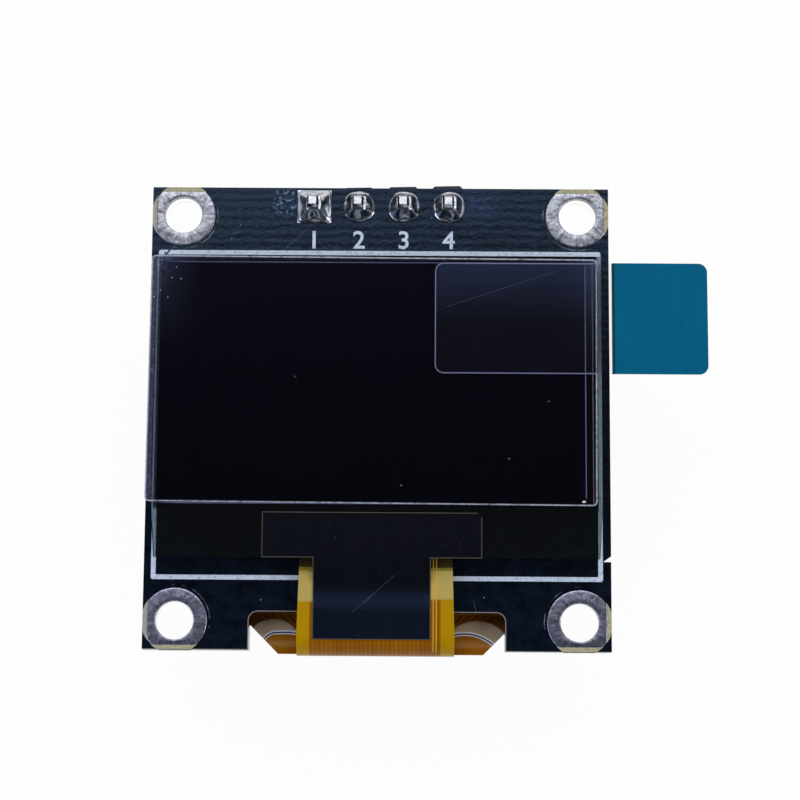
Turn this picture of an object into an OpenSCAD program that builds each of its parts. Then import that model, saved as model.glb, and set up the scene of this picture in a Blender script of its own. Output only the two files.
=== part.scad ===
// Small OLED display module: a graphic panel on a black board, a four-pin header and a folded flex.
// Millimetres. The board lies flat with its front face at z = 0 and the display facing +Z.
// The origin is the centre of the four mounting holes, and +Y points to the header edge.

/* [Board] */
// Distance that the board stands out beyond the glass at each side
board_side = 0.53; // [0.45:0.01:1.2]
// Thickness of the board
board_t = 1.2; // [0.8:0.1:1.6]
// Width of the notch that the flex folds through
notch_w = 14.1; // [13.7:0.1:15]
// Depth of that notch
notch_d = 2.1; // [1.7:0.1:2.3]
// Radius of the notch's inner corners
notch_r = 0.5; // [0.3:0.1:0.8]
// Depth of the nick left where the board was snapped out of its panel
nick_d = 0.45; // [0.2:0.05:0.6]
// Height of that nick at the board's edge
nick_h = 0.32; // [0.2:0.02:0.5]
// Distance from the board's bottom edge up to the nick
nick_up = 4.95; // [4:0.05:7]

/* [Mounting holes] */
// Distance from the middle of a hole to the nearer side edge
hole_inset_x = 1.75; // [1.6:0.05:2.2]
// Distance from the middle of a hole to the top or bottom edge
hole_inset_y = 1.6; // [1.5:0.05:2.2]
// Finished diameter of the plated holes
hole_d = 2.1; // [1.9:0.05:2.3]
// Diameter of the tinned ring round each hole
ring_d = 3.6; // [3.3:0.1:3.8]
// Distance that the rings are cut back from the board's edges
ring_inset = 0.28; // [0.2:0.02:0.4]
// Thickness of the plating on the hole's wall
barrel_t = 0.05; // [0.03:0.01:0.08]
// Height of the tinned rings above the board
ring_t = 0.05; // [0.04:0.01:0.08]
// Roundover on the rings' edges
ring_edge = 0.03; // [0.01:0.01:0.04]

/* [Header] */
// Distance between two pins
pin_pitch = 2.54; // [2.5:0.01:2.6]
// Width of a square pin
pin_w = 0.64; // [0.5:0.02:0.66]
// Height of the pins above the front of the board
pin_front = 1.6; // [1.4:0.1:2.2]
// Length of the pins behind the insulator
pin_back = 6; // [4:0.5:9]
// Length of the tapered end of a pin
pin_taper = 0.35; // [0.2:0.05:0.6]
// Width of a pin at its tip
pin_tip = 0.42; // [0.3:0.02:0.46]
// Height of the insulator
insulator_h = 2.54; // [2:0.02:3]
// Width of the insulator across the pin row
insulator_w = 2.5; // [2.3:0.02:2.56]
// Chamfer at the insulator's snap lines
insulator_chamfer = 0.55; // [0.2:0.01:0.6]
// How far the insulator stands out past the row of pins, towards the board's top edge
insulator_out = 0.24; // [0:0.02:0.3]
// Turn of the insulator about the middle of the row, in degrees, from a hand-set header
insulator_turn = 1.3; // [0:0.1:1.5]
// Distance from the board's top edge to the row of pins
header_inset = 1.1; // [1:0.05:1.2]
// Sideways place of the middle of the row of bores
header_x = 0.07; // [-0.2:0.01:0.2]
// Sideways offset of the pins in their bores
pin_offset = -0.05; // [-0.06:0.01:0.06]
// Diameter of the finished holes that the pins pass through
pin_bore_d = 1.04; // [1:0.02:1.1]
// Diameter of the round lands
land_d = 1.8; // [1.6:0.05:1.9]
// Side of the square land that marks pin 1
square_land = 1.9; // [1.6:0.05:2]
// Thickness of the header's lands and of their plated bores
land_t = 0.05; // [0.03:0.01:0.07]
// Height of the solder cones above the front of the board
solder_h = 0.95; // [0.7:0.05:1.1]
// Width of the solder round a pin at the top of its cone
solder_top = 1.02; // [1:0.01:1.1]
// Radius of the hollow sweep of the cones
solder_sweep = 1; // [0.7:0.05:2]

/* [Display panel] */
// Width of the front glass
glass_w = 24.74; // [24:0.02:24.9]
// Height of the front glass
glass_h = 16.9; // [16.5:0.1:17.1]
// Thickness of the front glass
glass_t = 0.7; // [0.5:0.05:0.8]
// Distance that the front glass narrows on each side at the ledge's corners
glass_taper = 0.16; // [0:0.02:0.3]
// Thickness of the rear glass
rear_t = 0.5; // [0.4:0.05:0.6]
// Distance that the rear glass stays inside the front one at its sides and top
rear_inset = 0.18; // [0.1:0.02:0.4]
// Depth of the ledge below the rear glass
ledge_d = 2.7; // [2.6:0.05:2.8]
// Thickness of the seal and of the light-making layers between the glasses
seal_t = 0.02; // [0.01:0.01:0.05]
// Width of the seal's frame
seal_w = 0.9; // [0.6:0.1:1.2]
// Distance that the seal stays inside the rear glass
seal_inset = 0.18; // [0.1:0.02:0.4]
// Gap between the seal and the light-making layers
layer_gap = 0.2; // [0.1:0.05:0.4]
// Thickness of the polariser
polariser_t = 0.2; // [0.1:0.02:0.25]
// Gap between the polariser and the left edge of the glass
polariser_left = 0.2; // [0.1:0.05:0.4]
// Gap between the polariser and the right edge of the glass
polariser_right = 0.88; // [0.2:0.02:1]
// Gap between the polariser and the top edge of the glass
polariser_top = 0.42; // [0.3:0.02:0.5]
// Distance that the polariser ends above the ledge
polariser_ledge_gap = 0.23; // [0.1:0.01:0.4]
// Chamfer on the polariser's lower right corner
polariser_chamfer = 0.42; // [0.2:0.02:0.6]
// Thickness of the tape that holds the panel
tape_t = 0.15; // [0.1:0.05:0.3]
// Distance that the tape stays inside the rear glass
tape_inset = 0.4; // [0.2:0.1:1]
// Sideways place of the panel's middle
panel_x = -0.03; // [-0.05:0.01:0.05]
// Width of the driver chip
chip_w = 6.8; // [6:0.1:8]
// Depth of the driver chip
chip_d = 0.86; // [0.7:0.02:0.9]
// Thickness of the driver chip
chip_t = 0.3; // [0.2:0.02:0.35]
// Gap between the driver chip and the rear glass
chip_gap = 0.32; // [0.2:0.02:0.35]

/* [Printed frame] */
// Width of the printed line
print_line = 0.26; // [0.15:0.01:0.3]
// Thickness of the print
print_t = 0.02; // [0.01:0.01:0.03]
// Distance that the printed frame stands outside the panel at each side
print_margin = 0.1; // [0.1:0.01:0.3]
// Distance that it stands above the panel
print_top = 0.57; // [0.5:0.01:0.65]
// Distance that it stands below the panel
print_bottom = 1.13; // [1:0.01:1.3]
// Gap between the printed frame and the tinned rings above it
print_gap_top = 0.25; // [0.15:0.01:0.6]
// Gap between the printed frame and the tinned rings below it
print_gap_bottom = 0.45; // [0.3:0.01:0.8]
// Radius of the frame's outer corners
print_r = 0.13; // [0.05:0.01:0.25]

/* [Flex] */
// Thickness of the flex
flex_t = 0.1; // [0.08:0.01:0.14]
// Sideways place of the flex's neck
flex_x = -0.07; // [-0.3:0.01:0.3]
// Width of the neck where it leaves the glass
neck_w = 8.4; // [8:0.05:8.6]
// Width of the neck at the fold
fold_w = 8.65; // [8:0.05:9]
// Length of the neck that is bonded under the glass
bond_l = 1; // [0.8:0.05:1.1]
// Distance that the fold stands beyond the board's bottom edge
fold_reach = 0.29; // [0:0.01:0.35]
// Distance that the fan's shoulders stand beyond that edge
shoulder_reach = 0.18; // [0:0.01:0.25]
// Sideways place of the fan's middle
fan_x = 0.2; // [-0.3:0.05:0.3]
// Distance that the fan's shoulders stay inside each side of the notch
shoulder_gap = 1.4; // [1.2:0.05:1.8]
// Distance from the board's side edge to the tail that is soldered to the back
tail_side = 3.3; // [3.2:0.05:3.6]
// Distance from the board's bottom edge to the end of the tail
tail_end = 6.1; // [5.7:0.1:6.4]
// Distance from the tail's side to its first contact
tail_margin = 0.61; // [0.4:0.01:1]
// Width of a tail contact's land
tail_land_w = 0.36; // [0.3:0.01:0.4]
// Length of a tail contact's land
tail_land_l = 1.7; // [1.4:0.1:2]
// Length of a solder bead on the tail
bead_l = 1.25; // [0.9:0.05:1.4]
// Height of a solder bead above its land
bead_h = 0.18; // [0.16:0.01:0.22]

/* [Light shield] */
// Thickness of the black film
shield_t = 0.05; // [0.03:0.01:0.08]
// Sideways place of the film's middle
shield_x = -0.29; // [-0.5:0.01:0.3]
// Width of its wide end on the glass
shield_top_w = 12.05; // [10:0.05:14]
// Distance that its wide end stays below the top of the ledge
shield_gap = 0.2; // [0.1:0.01:0.4]
// Width of its narrow end on the flex
shield_neck_w = 6.46; // [5.5:0.02:7.5]
// Chamfer on its upper right corner
shield_chamfer = 0.26; // [0.1:0.02:0.5]
// Run of the slope from the glass down to the flex
shield_slope = 1.35; // [1:0.05:1.6]
// Distance that its narrow end follows the fold
shield_wrap = 0.14; // [0.05:0.01:0.4]

/* [Protective film] */
// Distance that the clear film overhangs the glass on the left
film_left = 0.33; // [0.1:0.01:0.4]
// Distance that it ends short of the glass on the right
film_right = 0.27; // [0:0.01:0.5]
// Distance that it reaches above the polariser
film_top = 0.27; // [0.1:0.01:0.4]
// Thickness of the clear film
film_t = 0.05; // [0.03:0.01:0.08]
// Distance that it starts above the polariser's lower edge
film_lift = 0.02; // [0:0.01:0.3]
// Turn of the film on the panel, in degrees
film_turn = -0.3; // [-0.5:0.05:0.5]
// Length of the pull tab
tab_l = 15.1; // [13:0.1:17]
// Width of the pull tab
tab_w = 6.25; // [5:0.05:7]
// Thickness of the pull tab's clear strip
tab_t = 0.07; // [0.05:0.01:0.12]
// Distance from the middle of the panel to the tab's inner end
tab_x = 3.13; // [2:0.01:5]
// Distance from the film's top edge down to the tab
tab_drop = 0.3; // [0.1:0.02:0.6]
// Radius of the tab's corners
tab_r = 0.5; // [0.3:0.05:1]
// Length of the coloured grip
grip_l = 5.22; // [4:0.02:6]
// Thickness of the coloured grip
grip_t = 0.05; // [0.03:0.01:0.08]

/* [Parts on the back] */
// Length of a chip capacitor or resistor
chip_part_l = 1.6; // [1.5:0.05:1.7]
// Width of a chip capacitor or resistor
chip_part_w = 0.8; // [0.7:0.05:0.9]
// Height of a capacitor
capacitor_h = 0.8; // [0.6:0.05:0.9]
// Height of a resistor
resistor_h = 0.45; // [0.35:0.05:0.55]
// Thickness of the tinned lands on the back
back_land_t = 0.03; // [0.02:0.01:0.05]
// Distance that a land reaches past the end of its part
land_toe = 0.32; // [0.2:0.02:0.4]
// Distance that a land reaches in under its part
land_heel = 0.5; // [0.35:0.05:0.6]
// Distance that a land stands out beside its part
land_side = 0.05; // [0:0.01:0.15]
// Distance between two neighbouring parts of a row
column_pitch = 1.75; // [1.5:0.05:1.8]
// Distance from the flex's tail up to the lower row of parts
lower_row = 3.55; // [3:0.05:4]
// Distance from the header down to the upper row of parts
upper_row = 5.55; // [5:0.05:6]
// Distance between the upper row and the regulator
regulator_row = 3.6; // [3.2:0.05:4]
// Length of the regulator's moulding
regulator_l = 2.9; // [2.8:0.05:3]
// Width of the regulator's moulding
regulator_w = 1.3; // [1.2:0.05:1.4]
// Height of the regulator's moulding
regulator_h = 1.05; // [0.9:0.05:1.15]
// Distance between the regulator's two paired legs
regulator_pitch = 1.9; // [1.85:0.05:1.95]
// Span of the regulator's legs
regulator_span = 2.4; // [2.3:0.05:2.6]
// Length of the diode's moulding
diode_l = 1.7; // [1.6:0.05:1.8]
// Width of the diode's moulding
diode_w = 1.25; // [1.15:0.05:1.35]
// Height of the diode's moulding
diode_h = 0.9; // [0.8:0.05:1]
// Span of the diode's legs
diode_span = 2.6; // [2.5:0.05:2.7]
// Thickness of the legs' sheet
leg_t = 0.12; // [0.1:0.01:0.15]
// Width of a leg
leg_w = 0.4; // [0.3:0.02:0.5]
// Length of a leg's foot
leg_foot = 0.3; // [0.2:0.02:0.4]
// Length of a leg between its body and its first bend
leg_bend = 0.16; // [0.12:0.01:0.2]
// Draft of the mouldings' sides
moulding_draft = 0.08; // [0.03:0.01:0.12]
// Gap between a moulding and the lands' level
moulding_gap = 0.05; // [0.02:0.01:0.1]

/* [Hidden] */
PINS = 4;
TAIL_CONTACTS = 30;
$fn = 64;
past = 1;

// Board, sized round the glass, the printed frame and the corner holes
print_outer_h = glass_h + print_top + print_bottom;
strip_top = hole_inset_y + ring_d / 2 + print_gap_top;
strip_bottom = hole_inset_y + ring_d / 2 + print_gap_bottom;
board_w = glass_w + 2 * board_side;
board_h = strip_bottom + print_outer_h + strip_top;
edge_bottom = -board_h / 2;
edge_top = board_h / 2;
nick_y = edge_bottom + nick_up;

// Mounting holes, from the upper left one round to the lower left one
hole_x = board_w / 2 - hole_inset_x;
hole_y = board_h / 2 - hole_inset_y;
hole_xy = [for (s = [[-1, 1], [1, 1], [1, -1], [-1, -1]]) [s[0] * hole_x, s[1] * hole_y]];

// Header
header_y = edge_top - header_inset;
bore_x = [for (i = [0:PINS - 1]) header_x + (i - (PINS - 1) / 2) * pin_pitch];
insulator_top = -board_t - land_t;
pin_bottom = insulator_top - insulator_h - pin_back;

// Panel, from its lowest layer to its highest
glass_left = panel_x - glass_w / 2;
glass_bottom = edge_bottom + strip_bottom + print_bottom;
glass_top = glass_bottom + glass_h;
ledge_top = glass_bottom + ledge_d;
rear_w = glass_w - 2 * rear_inset;
rear_h = glass_top - rear_inset - ledge_top;
rear_y = ledge_top + rear_h / 2;
z_rear = tape_t;
z_seal = z_rear + rear_t;
z_glass = z_seal + seal_t;
z_polariser = z_glass + glass_t;
z_film = z_polariser + polariser_t;
z_tab = z_film + film_t;
z_grip = z_tab + tab_t;
polariser_w = glass_w - polariser_left - polariser_right;
polariser_x = glass_left + polariser_left + polariser_w / 2;
polariser_bottom = ledge_top + polariser_ledge_gap;
polariser_h = glass_top - polariser_top - polariser_bottom;
polariser_y = polariser_bottom + polariser_h / 2;

// Flex: a flat neck, a half-round fold and a fan that lies on the lands of the back
z_flex_top = z_glass;
z_fan_bottom = -board_t - back_land_t - flex_t;
fold_r = (z_flex_top - z_fan_bottom) / 2;
fold_y = edge_bottom - fold_reach + fold_r;
fold_z = z_flex_top - fold_r;
tail_w = board_w - 2 * tail_side;
tail_y = edge_bottom + tail_end;
shoulder_w = notch_w - 2 * shoulder_gap;
shoulder_y = edge_bottom - shoulder_reach;
tail_lands_y = tail_y - tail_land_l / 2 + bead_l / 2;
tail_pitch = (tail_w - 2 * tail_margin) / (TAIL_CONTACTS - 1);
tail_x = [for (i = [0:TAIL_CONTACTS - 1]) fan_x + (i - (TAIL_CONTACTS - 1) / 2) * tail_pitch];

// Film
film_w = glass_w + film_left - film_right;
film_h = polariser_h - film_lift + film_top;
film_x = glass_left - film_left + film_w / 2;
film_y = polariser_bottom + film_lift + film_h / 2;
tab_y = film_y + film_h / 2 - tab_drop - tab_w / 2;
tab_left = panel_x + tab_x;

// Parts on the back: columns from left to right, rows, and turns in degrees
function column(k) = (k - 4.5) * column_pitch;
row_1 = tail_y + lower_row;
row_3 = header_y - upper_row;
row_2 = row_3 - regulator_row;
capacitors = concat(
    [for (k = [0, 1, 2, 4, 5, 7, 8]) [column(k), row_1, 90]],
    [[column(1), row_3, 0]]
);
resistors = concat(
    [[column(6), row_1, 90]],
    [for (k = [4:6]) [column(k), row_3, 90]],
    [[column(8), row_2, 0]]
);
spare_places = [[column(8), (row_2 + row_3) / 2, 0]];
regulator_place = [column(1), row_2];
diode_place = [column(9), row_1];
body_lift = back_land_t + moulding_gap;

// A flat rectangle with round corners, centred
module round_rect(w, h, r) {
    square([w - 2 * r, h], center = true);
    square([w, h - 2 * r], center = true);
    for (sx = [-1, 1], sy = [-1, 1])
        translate([sx * (w / 2 - r), sy * (h / 2 - r)])
            circle(r);
}

// A profile drawn in Y and Z, extruded along X about the plane x = 0
module along_x(w) {
    rotate([90, 0, 90])
        translate([0, 0, -w / 2])
            linear_extrude(w)
                children();
}

// ---- Board ----

// Notch in the bottom edge, with round inner corners
module notch_outline() {
    translate([0, edge_bottom]) {
        translate([-notch_w / 2, -past])
            square([notch_w, past + notch_d - notch_r]);
        translate([-notch_w / 2 + notch_r, -past])
            square([notch_w - 2 * notch_r, past + notch_d]);
        for (s = [-1, 1])
            translate([s * (notch_w / 2 - notch_r), notch_d - notch_r])
                circle(notch_r);
    }
}

// Nick in the right edge, where a break-off bridge was snapped
module nick_outline() {
    polygon([
        [board_w / 2 + past, nick_y],
        [board_w / 2 - nick_d, nick_y],
        [board_w / 2, nick_y + nick_h],
        [board_w / 2 + past, nick_y + nick_h]
    ]);
}

module pcb() {
    color("#0d1119")
        difference() {
            translate([0, 0, -board_t])
                linear_extrude(board_t)
                    difference() {
                        square([board_w, board_h], center = true);
                        notch_outline();
                        nick_outline();
                    }
            for (p = hole_xy)
                translate([p[0], p[1], -board_t - past])
                    cylinder(d = hole_d + 2 * barrel_t, h = board_t + 2 * past);
            for (x = bore_x)
                translate([x, header_y, -board_t - past])
                    cylinder(d = pin_bore_d + 2 * land_t, h = board_t + 2 * past);
        }
}

// White line round the panel
module printed_frame() {
    w = glass_w + 2 * print_margin;
    h = print_outer_h;
    color("#dfe6ee")
        translate([panel_x, glass_bottom - print_bottom + h / 2, 0])
            linear_extrude(print_t)
                difference() {
                    round_rect(w, h, print_r);
                    square([w - 2 * print_line, h - 2 * print_line], center = true);
                }
}

// Plated mounting hole: a barrel with a tinned ring on each face, cut back from the board's edges
module hole_plating(i) {
    bore_r = hole_d / 2;
    ring_r = ring_d / 2;
    low = -board_t - ring_t;
    color("#b9bdc4")
        intersection() {
            translate([hole_xy[i][0], hole_xy[i][1], 0])
                rotate_extrude()
                    polygon([
                        [bore_r, low + ring_edge], [bore_r + ring_edge, low],
                        [ring_r - ring_edge, low], [ring_r, low + ring_edge],
                        [ring_r, -board_t], [bore_r + barrel_t, -board_t],
                        [bore_r + barrel_t, 0], [ring_r, 0],
                        [ring_r, ring_t - ring_edge], [ring_r - ring_edge, ring_t],
                        [bore_r + ring_edge, ring_t], [bore_r, ring_t - ring_edge]
                    ]);
            cube([board_w - 2 * ring_inset, board_h - 2 * ring_inset, 4 * board_t], center = true);
        }
}

// ---- Header ----

// Land of one pin on one face; pin 1 has the square one
module land_outline(i) {
    if (i == 0)
        square(square_land, center = true);
    else
        circle(d = land_d);
}

// Plated bore of a pin, with its land on each face
module header_land(i) {
    color("#c2c5ca")
        translate([bore_x[i], header_y, 0])
            difference() {
                union() {
                    linear_extrude(land_t)
                        land_outline(i);
                    translate([0, 0, -board_t - land_t])
                        linear_extrude(land_t)
                            land_outline(i);
                    translate([0, 0, -board_t])
                        cylinder(d = pin_bore_d + 2 * land_t, h = board_t);
                }
                translate([0, 0, -board_t - past])
                    cylinder(d = pin_bore_d, h = board_t + 2 * past);
            }
}

// Half profile of a solder cone from its land up, with a hollow flank
module cone_profile(base) {
    low = land_t + 0.04;
    foot = base / 2;
    head = solder_top / 2;
    run = foot - head;
    rise = solder_h - low;
    chord = sqrt(run * run + rise * rise);
    reach = sqrt(solder_sweep * solder_sweep - chord * chord / 4);
    difference() {
        polygon([[0, land_t], [foot, land_t], [foot, low], [head, solder_h], [0, solder_h]]);
        translate([(foot + head) / 2 + rise / chord * reach, (low + solder_h) / 2 + run / chord * reach])
            circle(solder_sweep);
    }
}

// A wall of the square joint: the whole profile, extruded across the land
module cone_wall() {
    rotate([90, 0, 0])
        translate([0, 0, -square_land])
            linear_extrude(2 * square_land) {
                cone_profile(square_land);
                mirror([1, 0])
                    cone_profile(square_land);
            }
}

// Solder round one pin: a cone on the front land and a plug down the bore
module solder_joint(i) {
    color("#d5d6da")
        translate([bore_x[i], header_y, 0])
            difference() {
                union() {
                    if (i == 0)
                        intersection() {
                            cone_wall();
                            rotate(90)
                                cone_wall();
                        }
                    else
                        rotate_extrude()
                            cone_profile(land_d);
                    translate([0, 0, -board_t - land_t])
                        cylinder(d = pin_bore_d, h = board_t + 2 * land_t);
                }
                translate([pin_offset, 0, 0])
                    cube([pin_w, pin_w, 4 * board_t], center = true);
            }
}

// Side of a pin, tapered at both ends
module pin_side() {
    rotate([90, 0, 0])
        translate([0, 0, -pin_w / 2])
            linear_extrude(pin_w)
                polygon([
                    [-pin_tip / 2, pin_bottom], [pin_tip / 2, pin_bottom],
                    [pin_w / 2, pin_bottom + pin_taper], [pin_w / 2, pin_front - pin_taper],
                    [pin_tip / 2, pin_front], [-pin_tip / 2, pin_front],
                    [-pin_w / 2, pin_front - pin_taper], [-pin_w / 2, pin_bottom + pin_taper]
                ]);
}

module header_pin(i) {
    color("#c9b27a")
        translate([bore_x[i] + pin_offset, header_y, 0])
            intersection() {
                pin_side();
                rotate(90)
                    pin_side();
            }
}

// Moulded strip that holds the pins, chamfered at each snap line
module header_insulator() {
    c = insulator_chamfer;
    a = pin_pitch / 2;
    b = insulator_w / 2;
    color("#17181a")
        translate([pin_offset, header_y, insulator_top - insulator_h])
            linear_extrude(insulator_h)
                difference() {
                    translate([header_x, insulator_out])
                        rotate(insulator_turn)
                            for (x = bore_x)
                                translate([x - header_x, 0])
                                    polygon([
                                        [-a, -b + c], [-a + c, -b], [a - c, -b], [a, -b + c],
                                        [a, b - c], [a - c, b], [-a + c, b], [-a, b - c]
                                    ]);
                    for (x = bore_x)
                        translate([x, 0])
                            square(pin_w, center = true);
                }
}

// ---- Display panel ----

// Double-sided tape under the panel
module panel_tape() {
    color("#202225")
        translate([panel_x, rear_y, 0])
            linear_extrude(tape_t)
                square([rear_w - 2 * tape_inset, rear_h - 2 * tape_inset], center = true);
}

// Glass that closes the panel from behind
module rear_glass() {
    color("#22282c")
        translate([panel_x, rear_y, z_rear])
            linear_extrude(rear_t)
                square([rear_w, rear_h], center = true);
}

// Area of the rear glass, less an inset all round
module sealed_area(inset) {
    translate([panel_x, rear_y])
        square([rear_w - 2 * inset, rear_h - 2 * inset], center = true);
}

// Glued frame between the two glasses
module panel_seal() {
    color("#c8ccd0")
        translate([0, 0, z_seal])
            linear_extrude(seal_t)
                difference() {
                    sealed_area(seal_inset);
                    sealed_area(seal_inset + seal_w);
                }
}

// Electrodes and light-making layers inside the seal
module light_layers() {
    color("#3a3c42")
        translate([0, 0, z_seal])
            linear_extrude(seal_t)
                sealed_area(seal_inset + seal_w + layer_gap);
}

// Glass with the contact ledge below the display area, narrowed at the ledge's corners
module front_glass() {
    half = glass_w / 2;
    color("#1c2226")
        translate([panel_x, 0, z_glass])
            linear_extrude(glass_t)
                polygon([
                    [-half, glass_top], [-half, ledge_top],
                    [-half + glass_taper, glass_bottom], [half - glass_taper, glass_bottom],
                    [half, ledge_top], [half, glass_top]
                ]);
}

module polariser() {
    half_w = polariser_w / 2;
    half_h = polariser_h / 2;
    c = polariser_chamfer;
    color("#0a0a10")
        translate([polariser_x, polariser_y, z_polariser])
            linear_extrude(polariser_t)
                polygon([
                    [-half_w, half_h], [-half_w, -half_h], [half_w - c, -half_h],
                    [half_w, -half_h + c], [half_w, half_h]
                ]);
}

// Driver chip, bonded under the ledge
module driver_chip() {
    color("#53565c")
        translate([flex_x - chip_w / 2, ledge_top - chip_gap - chip_d, z_glass - chip_t])
            cube([chip_w, chip_d, chip_t]);
}

// ---- Flex ----

// Outline of the fan seen from above: shoulders at the fold, then a flare, then the straight tail
module fan_outline() {
    flare = (tail_w - shoulder_w) / 2;
    translate([fan_x, 0])
        polygon([
            [-shoulder_w / 2, shoulder_y], [shoulder_w / 2, shoulder_y],
            [tail_w / 2, shoulder_y + flare], [tail_w / 2, tail_y],
            [-tail_w / 2, tail_y], [-tail_w / 2, shoulder_y + flare]
        ]);
}

// Half-round section of the fold, open towards the board
module fold_section() {
    intersection() {
        difference() {
            circle(fold_r);
            circle(fold_r - flex_t);
        }
        translate([-fold_r - past, -fold_r - past])
            square([fold_r + past, 2 * (fold_r + past)]);
    }
}

// One sheet: the neck bonded under the glass, the fold round the board's edge, and the fan behind
module flex_cable() {
    neck_top = glass_bottom + bond_l;
    color("#a87a12") {
        translate([flex_x, 0, z_flex_top - flex_t])
            linear_extrude(flex_t)
                polygon([
                    [-neck_w / 2, neck_top], [-neck_w / 2, glass_bottom],
                    [-fold_w / 2, fold_y], [fold_w / 2, fold_y],
                    [neck_w / 2, glass_bottom], [neck_w / 2, neck_top]
                ]);
        translate([flex_x, fold_y, fold_z])
            along_x(fold_w)
                fold_section();
        intersection() {
            translate([fan_x, fold_y, fold_z])
                along_x(tail_w) {
                    intersection() {
                        fold_section();
                        translate([-fold_r, -fold_r])
                            square([fold_r, fold_r * 0.75]);
                    }
                    translate([0, -fold_r])
                        square([tail_y - fold_y, flex_t]);
                }
            translate([0, 0, z_fan_bottom - past])
                linear_extrude(4 * past)
                    fan_outline();
        }
    }
}

// Black film on the ledge and down over the neck
module light_shield() {
    c = shield_chamfer;
    w = shield_top_w / 2;
    h = ledge_d - shield_gap;
    drop = z_polariser - z_flex_top;
    slope_end = glass_bottom - shield_slope;
    color("#0b0e16") {
        translate([shield_x, glass_bottom, z_polariser])
            linear_extrude(shield_t)
                polygon([
                    [-w, 0], [w, 0], [w, h - c], [w - c, h], [-w, h]
                ]);
        translate([shield_x, 0, z_flex_top])
            along_x(shield_neck_w) {
                polygon([
                    [glass_bottom + shield_slope, drop], [glass_bottom + shield_slope, drop + shield_t],
                    [glass_bottom, drop + shield_t], [slope_end, shield_t],
                    [fold_y, shield_t], [fold_y, 0],
                    [slope_end, 0], [glass_bottom, drop]
                ]);
                translate([fold_y, -fold_r])
                    intersection() {
                        difference() {
                            circle(fold_r + shield_t);
                            circle(fold_r);
                        }
                        translate([-shield_wrap, 0])
                            square([shield_wrap, 2 * fold_r]);
                    }
            }
    }
}

// ---- Protective film ----

module protective_film() {
    color([0.75, 0.8, 0.85, 0.35])
        translate([film_x, film_y, z_film])
            rotate(film_turn)
                linear_extrude(film_t)
                    round_rect(film_w, film_h, tab_r / 2);
}

// Clear strip stuck on the film, to peel it off by
module pull_tab() {
    color([0.8, 0.82, 0.85, 0.35])
        translate([tab_left + tab_l / 2, tab_y, z_tab])
            linear_extrude(tab_t)
                round_rect(tab_l, tab_w, tab_r);
}

// Coloured grip on the free end of the strip
module pull_tab_grip() {
    color("#0a6780")
        translate([tab_left + tab_l / 2, tab_y, z_grip])
            linear_extrude(grip_t)
                intersection() {
                    round_rect(tab_l, tab_w, tab_r);
                    translate([tab_l / 2 - grip_l, -tab_w])
                        square([grip_l + past, 2 * tab_w]);
                }
}

// ---- Back of the board ----

// Place of something on the back: turned over, so that its +Z points away from the board
module on_back(place, turn = 0) {
    translate([place[0], place[1], -board_t])
        rotate([180, 0, 0])
            rotate(-turn)
                children();
}

// The two lands of a chip part
module chip_lands() {
    land_l = land_heel + land_toe;
    for (s = [-1, 1])
        translate([s * (chip_part_l / 2 + land_toe - land_l / 2), 0, back_land_t / 2])
            cube([land_l, chip_part_w + 2 * land_side, back_land_t], center = true);
}

// Legs of a moulded part, as [along the body, side] pairs
regulator_feet = [[-regulator_pitch / 2, -1], [regulator_pitch / 2, -1], [0, 1]];
diode_feet = [[0, -1], [0, 1]];

// Lands of a moulded part
module leg_lands(feet, span) {
    land_l = land_heel + land_toe;
    for (f = feet)
        translate([f[0], f[1] * (span / 2 + land_toe - land_l / 2), back_land_t / 2])
            cube([leg_w + 4 * land_side, land_l, back_land_t], center = true);
}

// All tinned lands of the back
module back_lands() {
    color("#b4b8be") {
        for (p = concat(capacitors, resistors, spare_places))
            on_back(p, p[2])
                chip_lands();
        on_back(regulator_place)
            leg_lands(regulator_feet, regulator_span);
        on_back(diode_place)
            leg_lands(diode_feet, diode_span);
        for (x = tail_x)
            on_back([x, tail_lands_y])
                translate([0, 0, back_land_t / 2])
                    cube([tail_land_w, tail_land_l, back_land_t], center = true);
    }
}

// A long bead of solder with round ends, lying along Y
module bead(l, r) {
    rotate([90, 0, 0])
        cylinder(r = r, h = l - 2 * r, center = true);
    for (s = [-1, 1])
        translate([0, s * (l / 2 - r), 0])
            sphere(r);
}

// One bead at each tail contact, half on the tail's end and half on its land
module flex_solder() {
    r = tail_land_w / 2;
    color("#cfd1d5")
        for (x = tail_x)
            on_back([x, tail_y])
                difference() {
                    intersection() {
                        translate([0, 0, back_land_t + bead_h - r])
                            bead(bead_l, r);
                        translate([-r, -bead_l, back_land_t])
                            cube([2 * r, 2 * bead_l, 2 * r]);
                    }
                    translate([-2 * r, 0, 0])
                        cube([4 * r, bead_l, back_land_t + flex_t]);
                }
}

// Hollow wedge of solder that climbs an end face, standing at y = 0 and running towards +Y
module solder_wedge(w, l, h) {
    along_x(w)
        difference() {
            square([l, h]);
            translate([l, h])
                circle(min(l, h) * 0.98);
        }
}

// Solder at the ends of the chip parts and at the toes of the legs
module part_solder() {
    color("#cdd0d4") {
        for (p = concat(capacitors, resistors), s = [0, 180])
            on_back(p, p[2] + s)
                translate([chip_part_l / 2, 0, back_land_t])
                    rotate(-90)
                        solder_wedge(chip_part_w * 0.9, land_toe * 0.9, resistor_h * 0.7);
        for (f = regulator_feet)
            leg_solder(regulator_place, f, regulator_span);
        for (f = diode_feet)
            leg_solder(diode_place, f, diode_span);
    }
}

// Solder at the toe of one leg
module leg_solder(place, foot, span) {
    on_back(place)
        translate([foot[0], foot[1] * span / 2, back_land_t])
            rotate(foot[1] > 0 ? 0 : 180)
                solder_wedge(leg_w, land_toe * 0.6, leg_t);
}

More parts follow.
